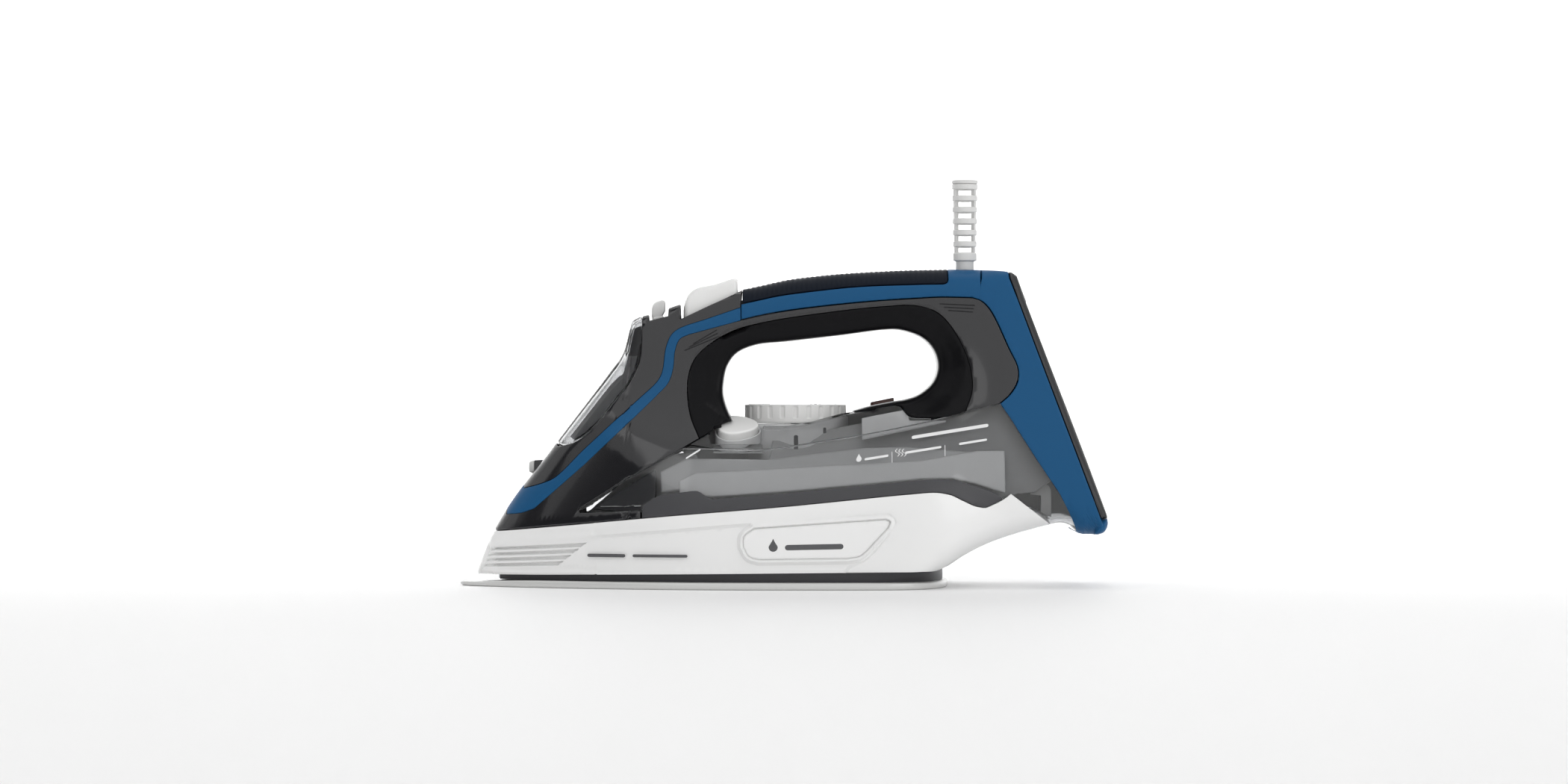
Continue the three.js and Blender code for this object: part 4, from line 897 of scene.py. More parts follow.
def make_housing():
    loop = (
        middle(-140.8)
        + side(run(skirt_top, -140.3, -68.2))
        + side([(-68.2, 37.6), (-97.5, 36.5), (-98.6, 37.9), (-76.2, 51.9), (-48.7, 67.4)])
        + side(SURROUND + POST_HEEL + HEEL_SEAM[::-1] + HANDLE_SEAM[::-1])
        + side([(-20.3, 136.8), (-19.6, 144.3), (-49.3, 130.1), (-49.6, 136.8)])
        + middle(-49.6, -55.8)
        + side([(-55.8, 134.5), (-55.8, 131.5), (-64.9, 129.4), (-64.9, 131.8)])
        + middle(-64.9, -68.3)
        + side(DOOR_SEAM[::-1] + [(-109.3, 68.4)])
        + middle(-111.2)
    )

    def bridge(x, z):
        """Half the width of the wells in the top: the thumb buttons', then the lever's."""
        if z > 128 and -69 < x < -19:
            return 14.2 if x > -49.4 else 8.6 if -64 < x < -56.4 else 0.0
        return -1

    def edge(x, z):
        return 0.6 if bridge(x, z) >= 0 else 0.3

    stripe = middle(-134.9) + side(STRIPE_LOW + [(-20.6, 135.6)] + STRIPE_HIGH) + middle(-126.0)
    grooves = []
    for start, end, up in (((-47.6, 114.6), (-31, 121.4), 1.6), ((76, 137.2), (93, 136.4), -1.6)):
        for i in range(3):
            a = np.array((start[0] + 0.5 * i + 1.6 * i, start[1] + up * i))
            b = np.array((end[0] + 0.5 * i - 1.0 * i, end[1] + up * i))
            across = np.array((a[1] - b[1], b[0] - a[0])) / np.linalg.norm(b - a) * 0.25
            groove = [tuple(a - across), tuple(b - across), tuple(b + across), tuple(a + across)]
            grooves.append((side(groove), 0.3, 0.2))
    panel(
        "housing_shell", loop, BLACK, ("housing",), edge=edge, bridge=bridge, wall=2.6,
        carves=[(stripe, 1.2, 0.25)] + grooves,
    )


post_height = smooth([(34, 85.0), (42.5, 86.9), (54, 89.2), (60, 89.6), (78, 92)])


def make_surround():
    def bridge(x, z):
        outside = x < -33.5 + 0.2 * abs(z - 95) or x > 76.5 or z > 126
        return -1 if outside or z < 79 or (x > 34.3 and z < post_height(x)) else 0.0

    def edge(x, z):
        if bridge(x, z) < 0:
            return 0.3
        if z > 96:
            return 11.0 - 2.4 * float(ease(106, 120, z))
        return 4.2 + 6.8 * float(ease(84, 96, z))

    loop = [(-40.2, 72.4), (-35.2, 75.4), (-33.2, 78.1), (-31, 78.4)] + OPENING + POST_FOOT
    loop += SURROUND[-2:0:-1]
    panel("opening_surround", side(loop), DEEP_BLACK, edge=edge, bridge=bridge, wall=2.6)


def make_trim():
    loop = middle(-134.7) + side(STRIPE_LOW + STRIPE_HIGH) + middle(-126.2)
    panel("front_trim_blue", loop, BLUE, ("front_trim",), edge=0.4, wall=1.1)
    loop = middle(-44.0) + side([(-44, 137), (-40, 125), (-4, 131.5), (-2, 146)]) + middle(-2.0)
    panel("handle_core_wall", loop, DARK, edge=0.3, wall=1.0, inset=5.0)


GRIP_EDGE = trace(
    (-19.6, 137.2), [(-10, 139.4), (-1.5, 141.2), (13.4, 143.2), (36.3, 145.6), (66.1, 146.7), (78, 146.9)],
    [(79.6, 147.6), (80.2, 149)],
)
DISH_X, DISH_RADIUS = 89.0, 8.9
HEEL_TOP = [(99.6, 0.0), (99.4, 3.0), (98.6, 6.4), (97.2, 9.4), (96.2, 11.4)]  # behind the dish, in (x, s)


def make_handle_cover():
    dish = [
        (DISH_X - DISH_RADIUS * math.cos(a), DISH_RADIUS * math.sin(a)) for a in np.linspace(0, math.pi, 25)
    ]
    dish[0], dish[-1] = (dish[0][0], 0.0), (dish[-1][0], 0.0)
    loop = (
        HEEL_TOP
        + side([(96, 150), (96, 138.9)])
        + side(shifted(HEEL_SEAM[2::-1], 0.0, 0.2))
        + side(shifted(HANDLE_SEAM[::-1], 0.0, 0.3))
        + side([(-20.3, 136.9)] + GRIP_EDGE)
        + middle(80.05)
        + dish
    )
    panel("handle_cover_blue", loop, BLUE, ("handle_cover",), edge=0.5, wall=3.6)


def make_grip():
    loop = middle(-19.5) + side([(-19.6, 144)] + shifted(GRIP_EDGE, 0.0, 0.25)) + middle(80.1)
    pitch = 2.4

    def ribs(x, s, distance):
        wave = np.clip(1.6 * np.cos(2 * math.pi * x / pitch) + 0.2, -1, 1)
        return 0.28 * (0.5 - 0.5 * wave) * ease(1.2, 2.2, distance)

    panel(
        "grip_insert_ribbed", loop, GRIP, ("grip_insert",), edge=0.5, wall=1.6, relief=ribs,
        columns=pitch / 8, cell=2.4,
    )


HEEL_RIM, PLATE_RIM = 3.7, 3.4  # how far inside the flat back the heel cover ends and the plate begins


def make_heel():
    loop = (
        shifted(HEEL_TOP, 0.3, 0.0)
        + side([(96.4, 150)] + shifted(HEEL_SEAM[4:], 0.3, 0.0) + shifted(HEEL_FRONT, 0.3, 0.1))
        + under(141.6, 150.4)
        + side([(152.6, 27.4), (153.2, 29.6), (153.4, 31.4)])
        + side([(rear_line(HEEL_RIM, z), z) for z in np.linspace(32, 150, 50)])
        + middle(rear_line(HEEL_RIM, 153))
    )
    panel("heel_cover_blue", loop, BLUE, ("heel_cover",), edge=0.5, wall=2.6)
    loop = (
        middle(rear_line(PLATE_RIM, 153))
        + side([(rear_line(PLATE_RIM, z), z) for z in np.linspace(150, 33.8, 50)])
        + side([(156.1, 33.8)])
        + middle(156.35)
    )
    field = [(118, -20), (150, -34), (150, 34), (118, 20)]
    panel(
        "heel_plate_dark", loop, PLATE, ("heel_plate",), wall=2.6, carves=[(field, 1.0, 0.9)],
    )
    foot = trace(
        (149.8, 25.9), (151.6, 25.9), [(154.4, 26.9), (156.0, 29.2), (156.5, 31.6)],
        (156.2, 33.6), (149.8, 33.6),
    )
    cap("heel_foot_blue", foot, BLUE, top=40.3, low=-40.3, edge=6.0, both=True, place=on_side(), cell=1.0)


def make_door():
    loop = middle(-109.9) + side([(-109.5, 70.2), (-108.6, 69.4)] + DOOR_SEAM) + middle(-68.5)
    panel("fill_door_clear", loop, DOOR, ("fill_door",), body="door", edge=0.5, shell=1.9)


# ---------------------------------------------------------------- soleplate
SOLE_NOSE_X, SOLE_END_X, SOLE_HALF, SOLE_THICK = -157.5, 80.5, 58.0, 3.4
STEAM_HOLES = [(-142, 0)] + [
    (x, y * sign) for x, y in ((-128, 9), (-112, 18), (-94, 26), (-75, 32), (-55, 36), (-34, 38), (-13, 38))
    for sign in (1, -1)
]


def sole_plan(inset, rear=None, n=56):
    """The plan outline of the soleplate moved inwards, as a closed loop.

    rear: how far the rear end is moved in, where that differs from the rest."""
    nose, half = SOLE_NOSE_X + 1.5 * inset, SOLE_HALF - inset
    end = SOLE_END_X - (inset if rear is None else rear)
    right = []
    for i in range(n + 1):
        x = nose + (FULLEST_X - nose) * (i / n) ** 1.8
        right.append((x, float(plan_half(x, nose, half))))
    m = n // 2
    for i in range(1, m + 1):
        u = math.sin(i / m * math.pi / 2) ** 0.8
        right.append((FULLEST_X + (end - FULLEST_X) * u, half * max(1 - u**5, 0) ** 0.45))
    left = [(x, -y) for x, y in right[1:-1]][::-1]
    return (right + left)[::-1]


HOLE_SIDES = 28
HOLE_ROWS = [(2.5, 0.0), (1.75, 0.35), (1.6, 0.7), (1.6, SOLE_THICK - 1.2)]  # (radius, height)
SOLE_ROWS = [  # (how far in, height, 1 where the height counts from the upper face)
    (1.4, 0.0, 0), (0.7, 0.16, 0), (0.22, 0.6, 0), (0.0, 1.15, 0),
    (0.0, -0.9, 1), (0.2, -0.35, 1), (0.8, 0.0, 1), (13.0, 0.0, 1),
]
COLLAR_ROWS = [(9.3, 3.5), (9.15, 3.8), (9.15, 8.4), (9.6, 8.9), (11.8, 8.9), (11.8, 3.5)]
COLLAR_NOSE_X = -139.6


def make_sole():
    def thick(x):
        return SOLE_THICK - 1.1 * (1 - float(ease(-157, -118, x)))

    verts = []
    for inset, height, from_top in SOLE_ROWS:
        verts += [(x, y, height + from_top * thick(x)) for x, y in sole_plan(inset)]
    ring = np.array(sole_plan(SOLE_ROWS[0][0]))
    n = len(ring)
    faces = ring_faces(0, len(SOLE_ROWS), n)
    points = [tuple(p) for p in ring]
    edges = [(i, (i + 1) % n) for i in range(n)]
    for x, y in STEAM_HOLES:
        first = len(points)
        points += circle(x, y, HOLE_ROWS[0][0], HOLE_SIDES)
        edges += [(first + i, first + (i + 1) % HOLE_SIDES) for i in range(HOLE_SIDES)]
    made = delaunay_2d_cdt([Vector(p) for p in points], edges, [], 0, 1e-6)
    flat = np.array([tuple(v) for v in made[0]])
    triangles = np.array([f for f in made[2] if len(f) == 3])
    centres = flat[triangles].mean(1)
    keep = inside(centres, ring)
    for x, y in STEAM_HOLES:
        keep &= np.hypot(centres[:, 0] - x, centres[:, 1] - y) > HOLE_ROWS[0][0] - 0.1
    base = len(verts)
    verts += [(x, y, 0.0) for x, y in flat]
    faces += [tuple(base + t[::-1]) for t in triangles[keep]]
    for x, y in STEAM_HOLES:
        faces += [(q, p, s, r) for p, q, r, s in ring_faces(len(verts), len(HOLE_ROWS), HOLE_SIDES)]
        for r, z in HOLE_ROWS:
            verts += [(u, v, z) for u, v in circle(x, y, r, HOLE_SIDES)]
    finish_mesh("sole_face_plate", verts, faces, CERAMIC, ("sole_face",))
    cap(
        "steam_hole_floor", [tuple(p) for p in sole_plan(15.0)], DARK, top=SOLE_THICK - 0.5,
        low=SOLE_THICK - 1.25, edge=0.2, cell=6.0,
    )

    verts = []
    for inset, z in COLLAR_ROWS:
        verts += [(max(x, COLLAR_NOSE_X + 0.2 * inset), y, z) for x, y in sole_plan(inset, inset - 6.6)]
    faces = ring_faces(0, len(COLLAR_ROWS), len(verts) // len(COLLAR_ROWS), closed=True)
    finish_mesh("sole_collar_band", verts, faces, DARK, ("sole_collar",))


# ---------------------------------------------------------------- controls
DIAL_X = 6.2


DIAL_R = 24.8
FLUTES, FLUTE_HALF, FLUTE_DEEP = 24, 0.85, 0.75  # round its rim


def make_dial():
    low, high = 82.5, 87.0

    def fluted(r, z, a):
        if r < 20 or z < low - 0.8 or z > high + 0.8:
            return r
        turn = (a / (2 * math.pi) * FLUTES + 0.5) % 1 - 0.5
        across = abs(turn) * 2 * math.pi * DIAL_R / FLUTES
        tall = max(low - z, z - high, 0.0)
        away = math.hypot(max(across - 0.3, 0), tall)
        return r - FLUTE_DEEP * (1 - float(ease(FLUTE_HALF - 0.45, FLUTE_HALF + 0.2, away)))

    rows = [(24.0, 79.3), (24.4, 79.4)] + [(DIAL_R, z) for z in np.linspace(80.0, 87.4, 24)]
    rows += rounded([(DIAL_R, 87.5), (DIAL_R, 88.35), (19, 88.5), (6, 88.3)], 1.1, 5)[1:]
    rows += [(3.0, 88.3), (0.02, 88.3)]
    place = Matrix.Translation((DIAL_X, 0, 0))
    lathe(
        "temperature_dial_knob", rows, DIAL, ("temperature_dial",), body="dial", place=place,
        n=FLUTES * 24, shape=fluted, sharp=60,
    )
    bar = [(-22.5, -0.9), (-13, -0.55), (-12.4, 0), (-13, 0.55), (-22.5, 0.9), (-23, 0)]
    cap("dial_pointer", bar, DARK, body="dial", top=88.62, low=87.9, edge=0.25, place=place, cell=0.8)
    for number in range(3):
        angle = math.radians(60 - 60 * number)
        for dot in range(number + 1):
            a = angle + math.radians(7 * (dot - number / 2))
            spot = circle(19.5 * math.cos(a), 19.5 * math.sin(a), 0.75, 20)
            cap(
                f"dial_dot_{number}_{dot}", spot, DARK, body="dial", top=88.6, low=87.9, edge=0.1,
                place=place, cell=0.8,
            )


def make_thumb_buttons():
    crest = smooth([
        (-49, 131.5), (-48.4, 135), (-47.8, 138), (-46.2, 141.5), (-43.8, 144), (-40.5, 145.5), (-32, 147.7),
        (-23.4, 149.9), (-21.6, 150.1),
    ])
    foot = smooth([(-49, 127), (-30, 132.4), (-21, 136)])
    for name, body, sign in (("spray_button", "spray", -1), ("steam_button", "steam", 1)):
        near, far = 0.5, 13.6
        loop = rounded_loop([(-48.3, near), (-21.9, near), (-21.9, far), (-48.3, far)], 2.6, 6)
        loop = [(x, y * sign) for x, y in loop][::sign]

        def edge(x, y, sign=sign):
            return 0.9 + 2.3 * ease(8, 12.5, np.asarray(y) * sign)

        def dish(x, y, sign=sign):
            across = (np.asarray(y) * sign - 7) / 6.5
            along = (np.asarray(x) + 33) / 9
            return -0.7 * np.clip(1 - across**2 - along**2, 0, 1)

        cap(
            name + "_key", loop, BUTTON, (name,), body=body, top=lambda x, y: crest(x),
            low=lambda x, y: foot(x), edge=edge, relief=dish, cell=0.9,
        )


SELF_CLEAN_TILT = 30  # degrees out of level, as its joint's axis


def make_self_clean():
    place = Matrix.Translation((-23.0, -22.0, 75.4)) @ Matrix.Rotation(math.radians(SELF_CLEAN_TILT), 4, "X")

    def egg(grow, n=64):
        """A rounded, three-cornered leaf with its point towards the heel."""
        out = []
        for i in range(n):
            a = 2 * math.pi * i / n
            r = 9.9 + 0.7 * math.cos(3 * a) + 0.6 * math.cos(a) + grow
            out.append((r * math.cos(a), 0.88 * r * math.sin(a)))
        return out

    cap(
        "self_clean_key", egg(0), BUTTON, ("self_clean_button",), body="self_clean", top=4.2, low=-0.4,
        edge=0.8, place=place, cell=0.9,
        relief=lambda u, v: 0.35 * (1 - (u / 10.6) ** 2 - (v / 8) ** 2),
    )
    cap(
        "self_clean_ring", egg(1.2), LINER, ("self_clean_bezel",), top=0.5, low=-6.4, edge=0.3, place=place,
        cell=0.9, holes=[egg(0.35)],
    )
    shelf = [(-33.4, -11.6), (-33.4, -31), (-10, -31), (-10, -11.6)]
    back = [(-47, 57), (-9.5, 57), (-9.5, 77.9), (-37, 77.9), (-47, 68.5)]
    cap("self_clean_back", back, CORE, top=11.4, low=10.4, edge=0.2, place=on_side(), cell=2.0)
    cap("self_clean_shelf", shelf, CORE, top=65.6, low=64.6, edge=0.3, cell=2.0)


LEVER_PIVOT_X = -47.0


def make_lever():
    fin = trace(
        (-63.6, 128.5), (-64.1, 132), [(-63.7, 136.6), (-62.3, 138.4), (-59, 139.6)],
        [(-57.7, 139.1), (-57.2, 137.8)], (-57.4, 134.0), (-58.5, 132.0), (-58.5, 128.5),
    )
    cap(
        "steam_lever_fin", fin, BUTTON, ("steam_lever",), body="lever", top=1.9, low=-1.9,
        edge=0.9, both=True, place=on_side(), cell=0.7,
    )
    base = []
    for radius, turn in ((16.6, 1), (11.4, -1)):
        for a in np.linspace(-turn, turn, 9) * math.radians(10):
            base.append((LEVER_PIVOT_X - radius * math.cos(a), -radius * math.sin(a)))
    cap(
        "steam_lever_slide", base, BUTTON, body="lever", top=lambda u, v: 130.6 + 0.23 * (u + 63.6),
        low=128.0, edge=0.5, cell=0.9,
    )


def make_nozzle():
    place = Matrix.Translation((-121.6, 0, 57.9)) @ Matrix.Rotation(-math.pi / 2, 4, "Y")
    rows = [(3.2, -0.2), (3.1, 0.6), (2.5, 2.2), (1.2, 2.5), (0.9, 2.1), (0.5, 2.1), (0.45, 0.6), (0.02, 0.6)]
    lathe("spray_nozzle_tip", rounded(rows, 0.3, 3), PALE, ("spray_nozzle",), place=place, n=40)


def make_lens():
    loop = rounded_loop([(42.7, -2.5), (54.3, -2.5), (54.3, 2.5), (42.7, 2.5)], 2.2, 6)
    cap(
        "indicator_lens_window", loop, AMBER, ("indicator_lens",), top=lambda u, v: 89.5 + 0.2 * (u - 42.7),
        low=lambda u, v: 86.8 + 0.19 * (u - 42.7), edge=0.6, cell=0.8,
    )


# ---------------------------------------------------------------- cord exit
def make_cord_exit():
    centre = Matrix.Translation((DISH_X, 0, 0))
    rows = rounded([(8.95, 154.0), (8.6, 154.05), (7.4, 151.5), (6.9, 149.0), (6.9, 141.5)], 0.6, 4)
    lathe("cord_dish", rows, BLUE, place=centre, n=72)
    levels, pitch, window, low, bore = 6, 5.6, 2.8, 162.4, 3.9
    post_half_turn, post_in = 0.62, 0.55  # the posts between the slots: radians, and how far inside the ribs
    verts, faces = [], []

    def add_ring(rows, n=56):
        faces.extend(turned_faces(len(verts), n, len(rows), closed=True))
        for i in range(n):
            a = 2 * math.pi * i / n
            verts.extend((DISH_X + r * math.cos(a), r * math.sin(a), z) for r, z in rows)

    def tube(r_in, r_out, z0, z1, soft):
        return rounded_loop([(r_in, z0), (r_out, z0), (r_out, z1), (r_in, z1)], soft, 4)

    add_ring(tube(2.8, 5.75, 157.9, low + 0.2, 0.9))
    add_ring(tube(2.8, 4.4, 150.5, 158.4, 0.3))
    for i in range(levels):
        z = low + i * pitch + window
        r_out = 5.75 + 0.1 * i
        add_ring(tube(bore, r_out, z - 0.1, z + pitch - window + 0.1, 0.55))
        for sign in (1, -1):
            arc = [(-post_half_turn + 2 * post_half_turn * k / 10) for k in range(11)]
            loop = [
                (DISH_X + sign * r * math.cos(a), r * math.sin(a))
                for r, turns in ((r_out - post_in, arc), (bore, arc[::-1])) for a in turns
            ]
            first = len(verts)
            for height in (z - window - 0.4, z + 0.4):
                verts.extend((x, y, height) for x, y in loop)
            m = len(loop)
            for k in range(m):
                quad = (first + k, first + (k + 1) % m, first + m + (k + 1) % m, first + m + k)
                faces.append(quad if sign > 0 else quad[::-1])
    add_ring(tube(bore, 6.3, 195.8, 198.0, 0.6))
    finish_mesh("cord_boot_ribbed", verts, faces, BOOT, ("cord_boot",), body="boot", sharp=50, weld=False)


# ---------------------------------------------------------------- water tank behind the clear window
def make_tank_liner():
    loop = closed_side([
        (-60, 46.6), (-60, 57.6), (-46, 65.6), (-31, 65.4), (-8, 65), (40, 71), (60, 71.5), (98, 67.1),
        (106.7, 67.3), (107.6, 50.2), (92.9, 51.2), (82.2, 54.2), (66, 54.4), (27.7, 50.6), (4.2, 48.2),
        (-34, 45), (-38, 48.9), (-44, 49.2),
    ])
    tub = closed_side([
        (-50.4, 45), (-50.4, 52.8), (-41.5, 57.6), (66, 63.6), (94, 67.8), (107, 67.4), (107.4, 46),
        (92.9, 51.2), (82.2, 54.2), (66, 54.4), (27.7, 50.6), (4.2, 48.2), (-34, 45),
    ])
    core = closed_side([
        (-98, 39), (-80, 54), (-52, 71), (-42, 72), (-39, 62), (-8, 62), (-5, 75.6), (0, 75.6), (30, 82),
        (54, 86), (94, 92), (106, 92), (118, 76), (131, 54), (122, 47), (108, 45), (95, 39), (70, 43),
        (0, 36), (-60, 32.5), (-96, 32),
    ])
    panel("tank_core_wall", core, CORE, edge=0.5, wall=2.0, inset=11.0)
    front = side([(-106, 68), (-96, 69), (-84, 78), (-70, 96), (-63, 108), (-63, 127)])
    front = middle(-109.0) + front + middle(-73.2)
    block = [(101, 44), (112, 60), (129, 58), (139.5, 36), (140.5, 30.4), (129, 32.6), (110, 45)]
    cap("heel_core_block", block, CORE, top=6.0, low=-6.0, edge=0.5, both=True, place=on_side(), cell=2.0)
    panel("filler_core_wall", front, DARK, edge=0.5, wall=2.0, inset=6.5)
    column = rounded(
        [(20.0, 60.0), (25.6, 60.0), (25.6, 75.0), (26.0, 77.6), (25.6, 78.9), (3.6, 78.9), (3.6, 77.0)],
        0.8, 4,
    )
    lathe("dial_column_well", column, LINER, ("dial_column",), place=Matrix.Translation((DIAL_X, 0, 0)), n=96)
    for name, x, low, high in (("middle", 6.4, 63.0, 71.8), ("rear", 20.0, 66.4, 75.2)):
        y = -math.sqrt(25.7**2 - (x - DIAL_X) ** 2)
        slot = rounded_loop([(x - 1, low), (x + 1, low), (x + 1, high), (x - 1, high)], 0.9, 4)
        cap(
            "column_slot_" + name, slot, DARK, top=-y + 0.15, low=-y - 1.5, edge=0.2, place=on_side(),
            cell=0.8,
        )

    def deck_half(x):
        return float(half_width(x, deck_height(x))) - 2.6

    xs = np.linspace(-31.0, 40.0, 60).tolist()
    deck_loop = [(x, -deck_half(x) if x > -9.4 else -11.0) for x in xs]
    deck_loop += [(x, deck_half(x)) for x in xs[::-1]]
    cap(
        "tank_deck_clear", deck_loop, SMOKE, top=lambda u, v: deck_height(u), edge=0.3,
        low=lambda u, v: deck_height(u) - 2.0, holes=[circle(DIAL_X, 0, 25.7, 96)], cell=2.0,
    )
    panel(
        "water_tank_liner", loop, TANK, ("water_tank",), edge=1.0, wall=2.0, inset=5.6,
    )
    # A pale strip under the smoked tank cover. The broad part is a pale region seen there; the thin wedge on
    # to x 78.4 is a painted highlight, a pale piece standing in for light on the cover.
    strip = closed_side([(38, 73.5), (38, 83.2), (60, 87.4), (61.2, 82.2), (78.4, 82.4), (78.4, 81.6)])
    panel("cover_strip_and_painted_highlight", strip, LINER, edge=0.4, wall=1.0, inset=3.4)
    prow = closed_side([(-94, 38.6), (-62, 58.4), (-62, 44), (-66, 40), (-68.5, 36.5)])
    panel("tank_front_wall", prow, DARK, edge=0.4, wall=1.0, inset=4.4)
    # A painted reflection: a thin pale bar inside the tank front stands in for a line of light reflected on
    # the window.
    reflection_line = closed_side([(-89, 40.2), (-68.6, 40.7), (-69.2, 39.8), (-89, 39.5)])
    panel("tank_front_painted_reflection", reflection_line, LINER, edge=0.1, wall=0.6, inset=3.6, cell=1.2)
    panel("water_tank_tub", tub, LINER, edge=0.8, wall=1.2, inset=4.2)


# ---------------------------------------------------------------- small printed signs, with no lettering
def mark(name, outline, looks=PRINT, lift=0.02):
    """A printed sign: a thin film that follows the body, from a side-view outline, on both sides."""
    panel(name, closed_side(outline, 0.8), looks, edge=0.03, seam=0.0, inset=-lift, shell=0.04, cell=1.0)


def slanted(x, z, rise, shape):
    """A shape of (right, up) offsets placed on a line of print that rises towards the heel."""
    return [(x + a, z + b + rise * a) for a, b in shape]


def drop_shape(size):
    """A water drop: a round belly drawn up to a point."""
    out = []
    for i in range(28):
        a = 2 * math.pi * i / 28 + math.pi / 2
        lift = max(math.sin(a), 0)
        across = 0.7 * size * math.cos(a) * (1 - 0.75 * lift**2)
        out.append((across, size * (0.7 * math.sin(a) + 0.6 * lift**3)))
    return out


def bar_shape(long, tall):
    r = tall / 2
    ends = [(long - r + r * math.cos(a), r * math.sin(a)) for a in np.linspace(-math.pi / 2, math.pi / 2, 7)]
    return ends + [(r - r * math.cos(a), -r * math.sin(a)) for a in np.linspace(-math.pi / 2, math.pi / 2, 7)]


def wave_shape(tall, wide):
    out = []
    for i in range(13):
        t = i / 12
        out.append((0.9 * math.sin(2 * math.pi * t) + wide / 2, tall * (t - 0.5)))
    return out + [(a - wide, b) for a, b in out[::-1]]


PRINT_RISE = 0.16
RULE = [(-0.15, -2.6), (0.15, -2.6), (0.15, 2.6), (-0.15, 2.6)]


def make_marks():
    mark("mark_fill_level", slanted(-46.5, 62.6, 0.62, bar_shape(7.0, 0.9)))
    for i, (x, long) in enumerate(((35.0, 11.5), (54.5, 17.5), (80.5, 13.5))):
        z = 62.2 + PRINT_RISE * (x - 35)
        mark(f"mark_line_{i}", slanted(x + 4.2, z, PRINT_RISE, bar_shape(long, 1.1)))
        if i < 2:
            mark(f"mark_rule_{i}", slanted(x + (17.4, 23.4)[i], z + 1, PRINT_RISE, RULE))
    mark("mark_drop", slanted(36.5, 62.4, PRINT_RISE, drop_shape(1.9)))
    for k in range(3):
        mark(f"mark_steam_{k}", slanted(55.0 + 1.6 * k, 65.4, PRINT_RISE, wave_shape(3.6, 0.5)))
    mark("mark_model", slanted(62.0, 72.6, PRINT_RISE, bar_shape(37.0, 1.6)))
    mark("mark_power", slanted(-94.0, 16.0, 0.0, bar_shape(18.5, 1.6)), DARK_PRINT)
    mark("mark_shot", slanted(-72.0, 16.0, 0.0, bar_shape(26.5, 1.4)), DARK_PRINT)
    mark("mark_badge_drop", slanted(-4.6, 20.4, 0.0, drop_shape(3.1)), DARK_PRINT, 0.04 - BADGE_DEEP)
    mark("mark_badge_bar", slanted(1.0, 20.2, 0.02, bar_shape(28.0, 2.6)), DARK_PRINT, 0.04 - BADGE_DEEP)


for make in (
    make_skirt, make_badges, make_tank_base, make_window, make_tank_cover, make_housing, make_surround,
    make_trim, make_handle_cover, make_grip, make_heel, make_door, make_sole, make_dial, make_marks,
    make_thumb_buttons, make_self_clean, make_lever, make_nozzle, make_lens, make_cord_exit, make_tank_liner,
):
    make()


# ---------------------------------------------------------------- floor, light and camera
def make_stage():
    floor = look("floor_paint", (0.97, 0.97, 0.97), 0.6, wear=0.03)
    near, far, high, bend, half = -4.0, 2.0, 3.5, 0.8, 5.0
    profile = [(near, 0.0), (far - bend, 0.0)]
    for i in range(1, 17):
        a = i / 16 * math.pi / 2
        profile.append((far - bend + bend * math.sin(a), bend * (1 - math.cos(a))))
    profile.append((far, high))
    verts = [(x, y, z) for y, z in profile for x in (-half, half)]
    faces = [(2 * i, 2 * i + 1, 2 * i + 3, 2 * i + 2) for i in range(len(profile) - 1)]
    mesh = bpy.data.meshes.new("floor")
    mesh.from_pydata(verts, [], faces)
    mesh.shade_smooth()
    mesh.materials.append(floor)
    add_object("floor", mesh)


def area_light(name, place, target, size, power, spread=180):
    data = bpy.data.lights.new(name, "AREA")
    data.shape = "RECTANGLE"
    data.size, data.size_y = size
    data.energy = power
    data.spread = math.radians(spread)
    obj = add_object(name, data)
    obj.location = place
    obj.rotation_euler = (Vector(target) - Vector(place)).to_track_quat("-Z", "Y").to_euler()


# the room's brightness by bearing in degrees: 0 behind the iron, 180 at the camera, negative on the nose side
ROOM = [
    (-180, 0.95), (-152, 0.95), (-147, 0.06), (-112, 0.06), (-104, 0.8), (-80, 0.7), (-60, 0.5), (60, 0.5),
    (100, 0.5), (140, 0.95), (180, 0.95),
]


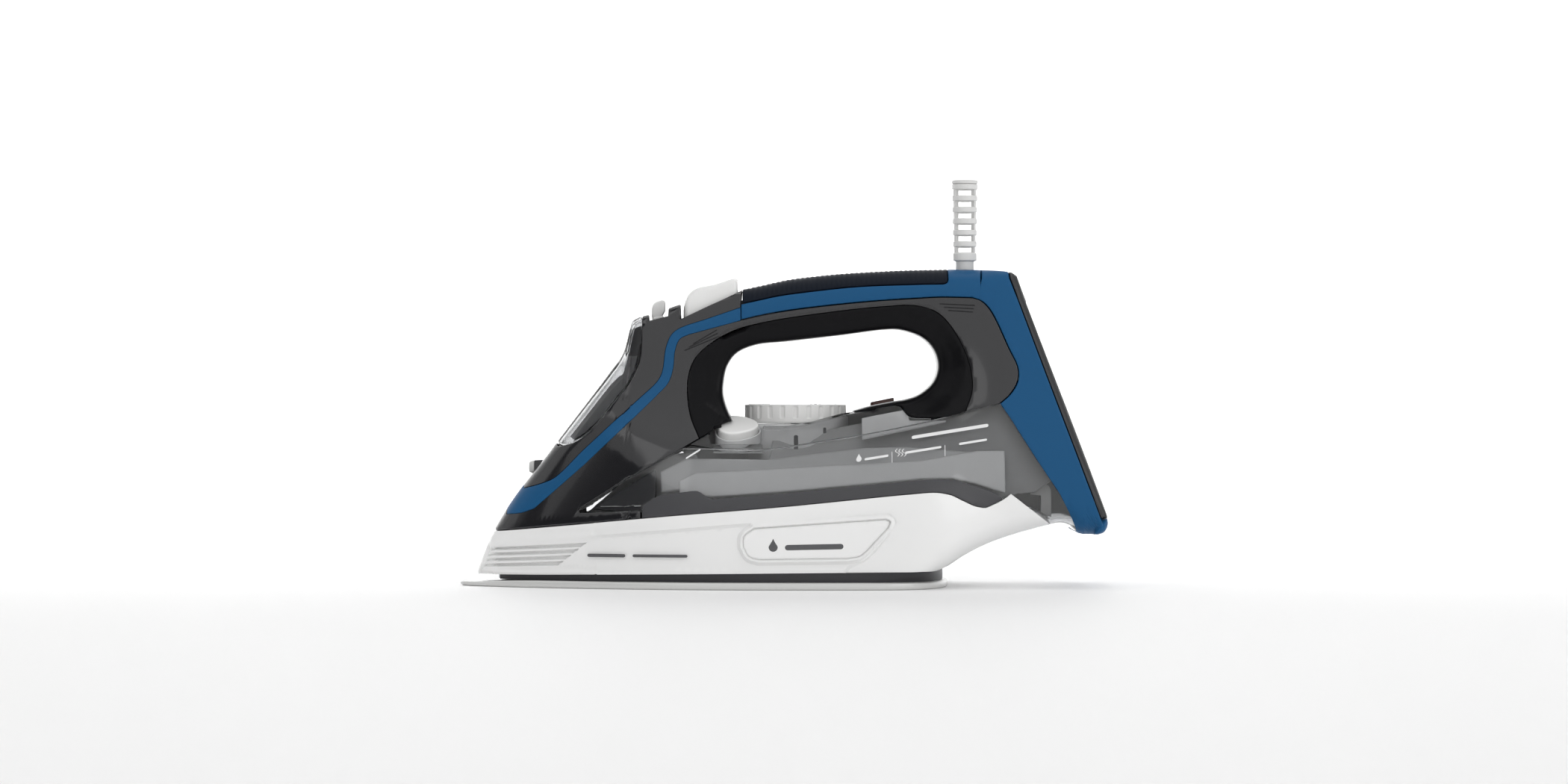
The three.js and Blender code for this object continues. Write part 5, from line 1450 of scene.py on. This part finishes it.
def make_light():
    world = bpy.data.worlds.new("studio")
    bpy.context.scene.world = world
    world.use_nodes = True
    nodes, links = world.node_tree.nodes, world.node_tree.links
    background = nodes["Background"]
    background.inputs["Color"].default_value = (1, 1, 1, 1)
    place = nodes.new("ShaderNodeTexCoord")
    parts = nodes.new("ShaderNodeSeparateXYZ")
    bearing = nodes.new("ShaderNodeMath")
    bearing.operation = "ARCTAN2"
    span = nodes.new("ShaderNodeMapRange")
    span.inputs["From Min"].default_value = -math.pi
    span.inputs["From Max"].default_value = math.pi
    screens = nodes.new("ShaderNodeValToRGB")
    stops = [(degrees / 360 + 0.5, level) for degrees, level in ROOM]
    for position, level in stops[1:-1]:
        screens.color_ramp.elements.new(position)
    for element, (position, level) in zip(screens.color_ramp.elements, stops):
        element.position = position
        element.color = (level, level, level, 1)
    links.new(place.outputs["Generated"], parts.inputs["Vector"])
    links.new(parts.outputs["X"], bearing.inputs[0])
    links.new(parts.outputs["Y"], bearing.inputs[1])
    links.new(bearing.outputs["Value"], span.inputs["Value"])
    links.new(span.outputs["Result"], screens.inputs["Fac"])
    links.new(screens.outputs["Color"], background.inputs["Strength"])
    centre = (0, 0, 0.08)
    area_light("key", (-1.5, -1.7, 1.7), centre, (2.2, 1.8), 8)
    area_light("fill", (1.8, -1.5, 1.0), centre, (1.6, 1.4), 8)
    area_light("top", (0.1, 0.2, 1.7), centre, (1.6, 0.8), 3)
    area_light("backdrop", (0.0, 0.5, 2.2), (0.0, 2.0, 0.5), (3.5, 1.0), 30, spread=115)


def make_camera():
    width_at_iron, distance, sensor = 0.7665, 2.15, 36.0
    aim_x, aim_z = 0.0006, 0.0945
    data = bpy.data.cameras.new("camera")
    data.sensor_width = sensor
    data.lens = sensor * distance / width_at_iron
    obj = add_object("camera", data)
    obj.location = (aim_x, -distance, aim_z)
    obj.rotation_euler = (math.pi / 2, 0, 0)
    bpy.context.scene.camera = obj


make_stage()
make_light()
make_camera()
bpy.context.scene.view_settings.view_transform = "Standard"
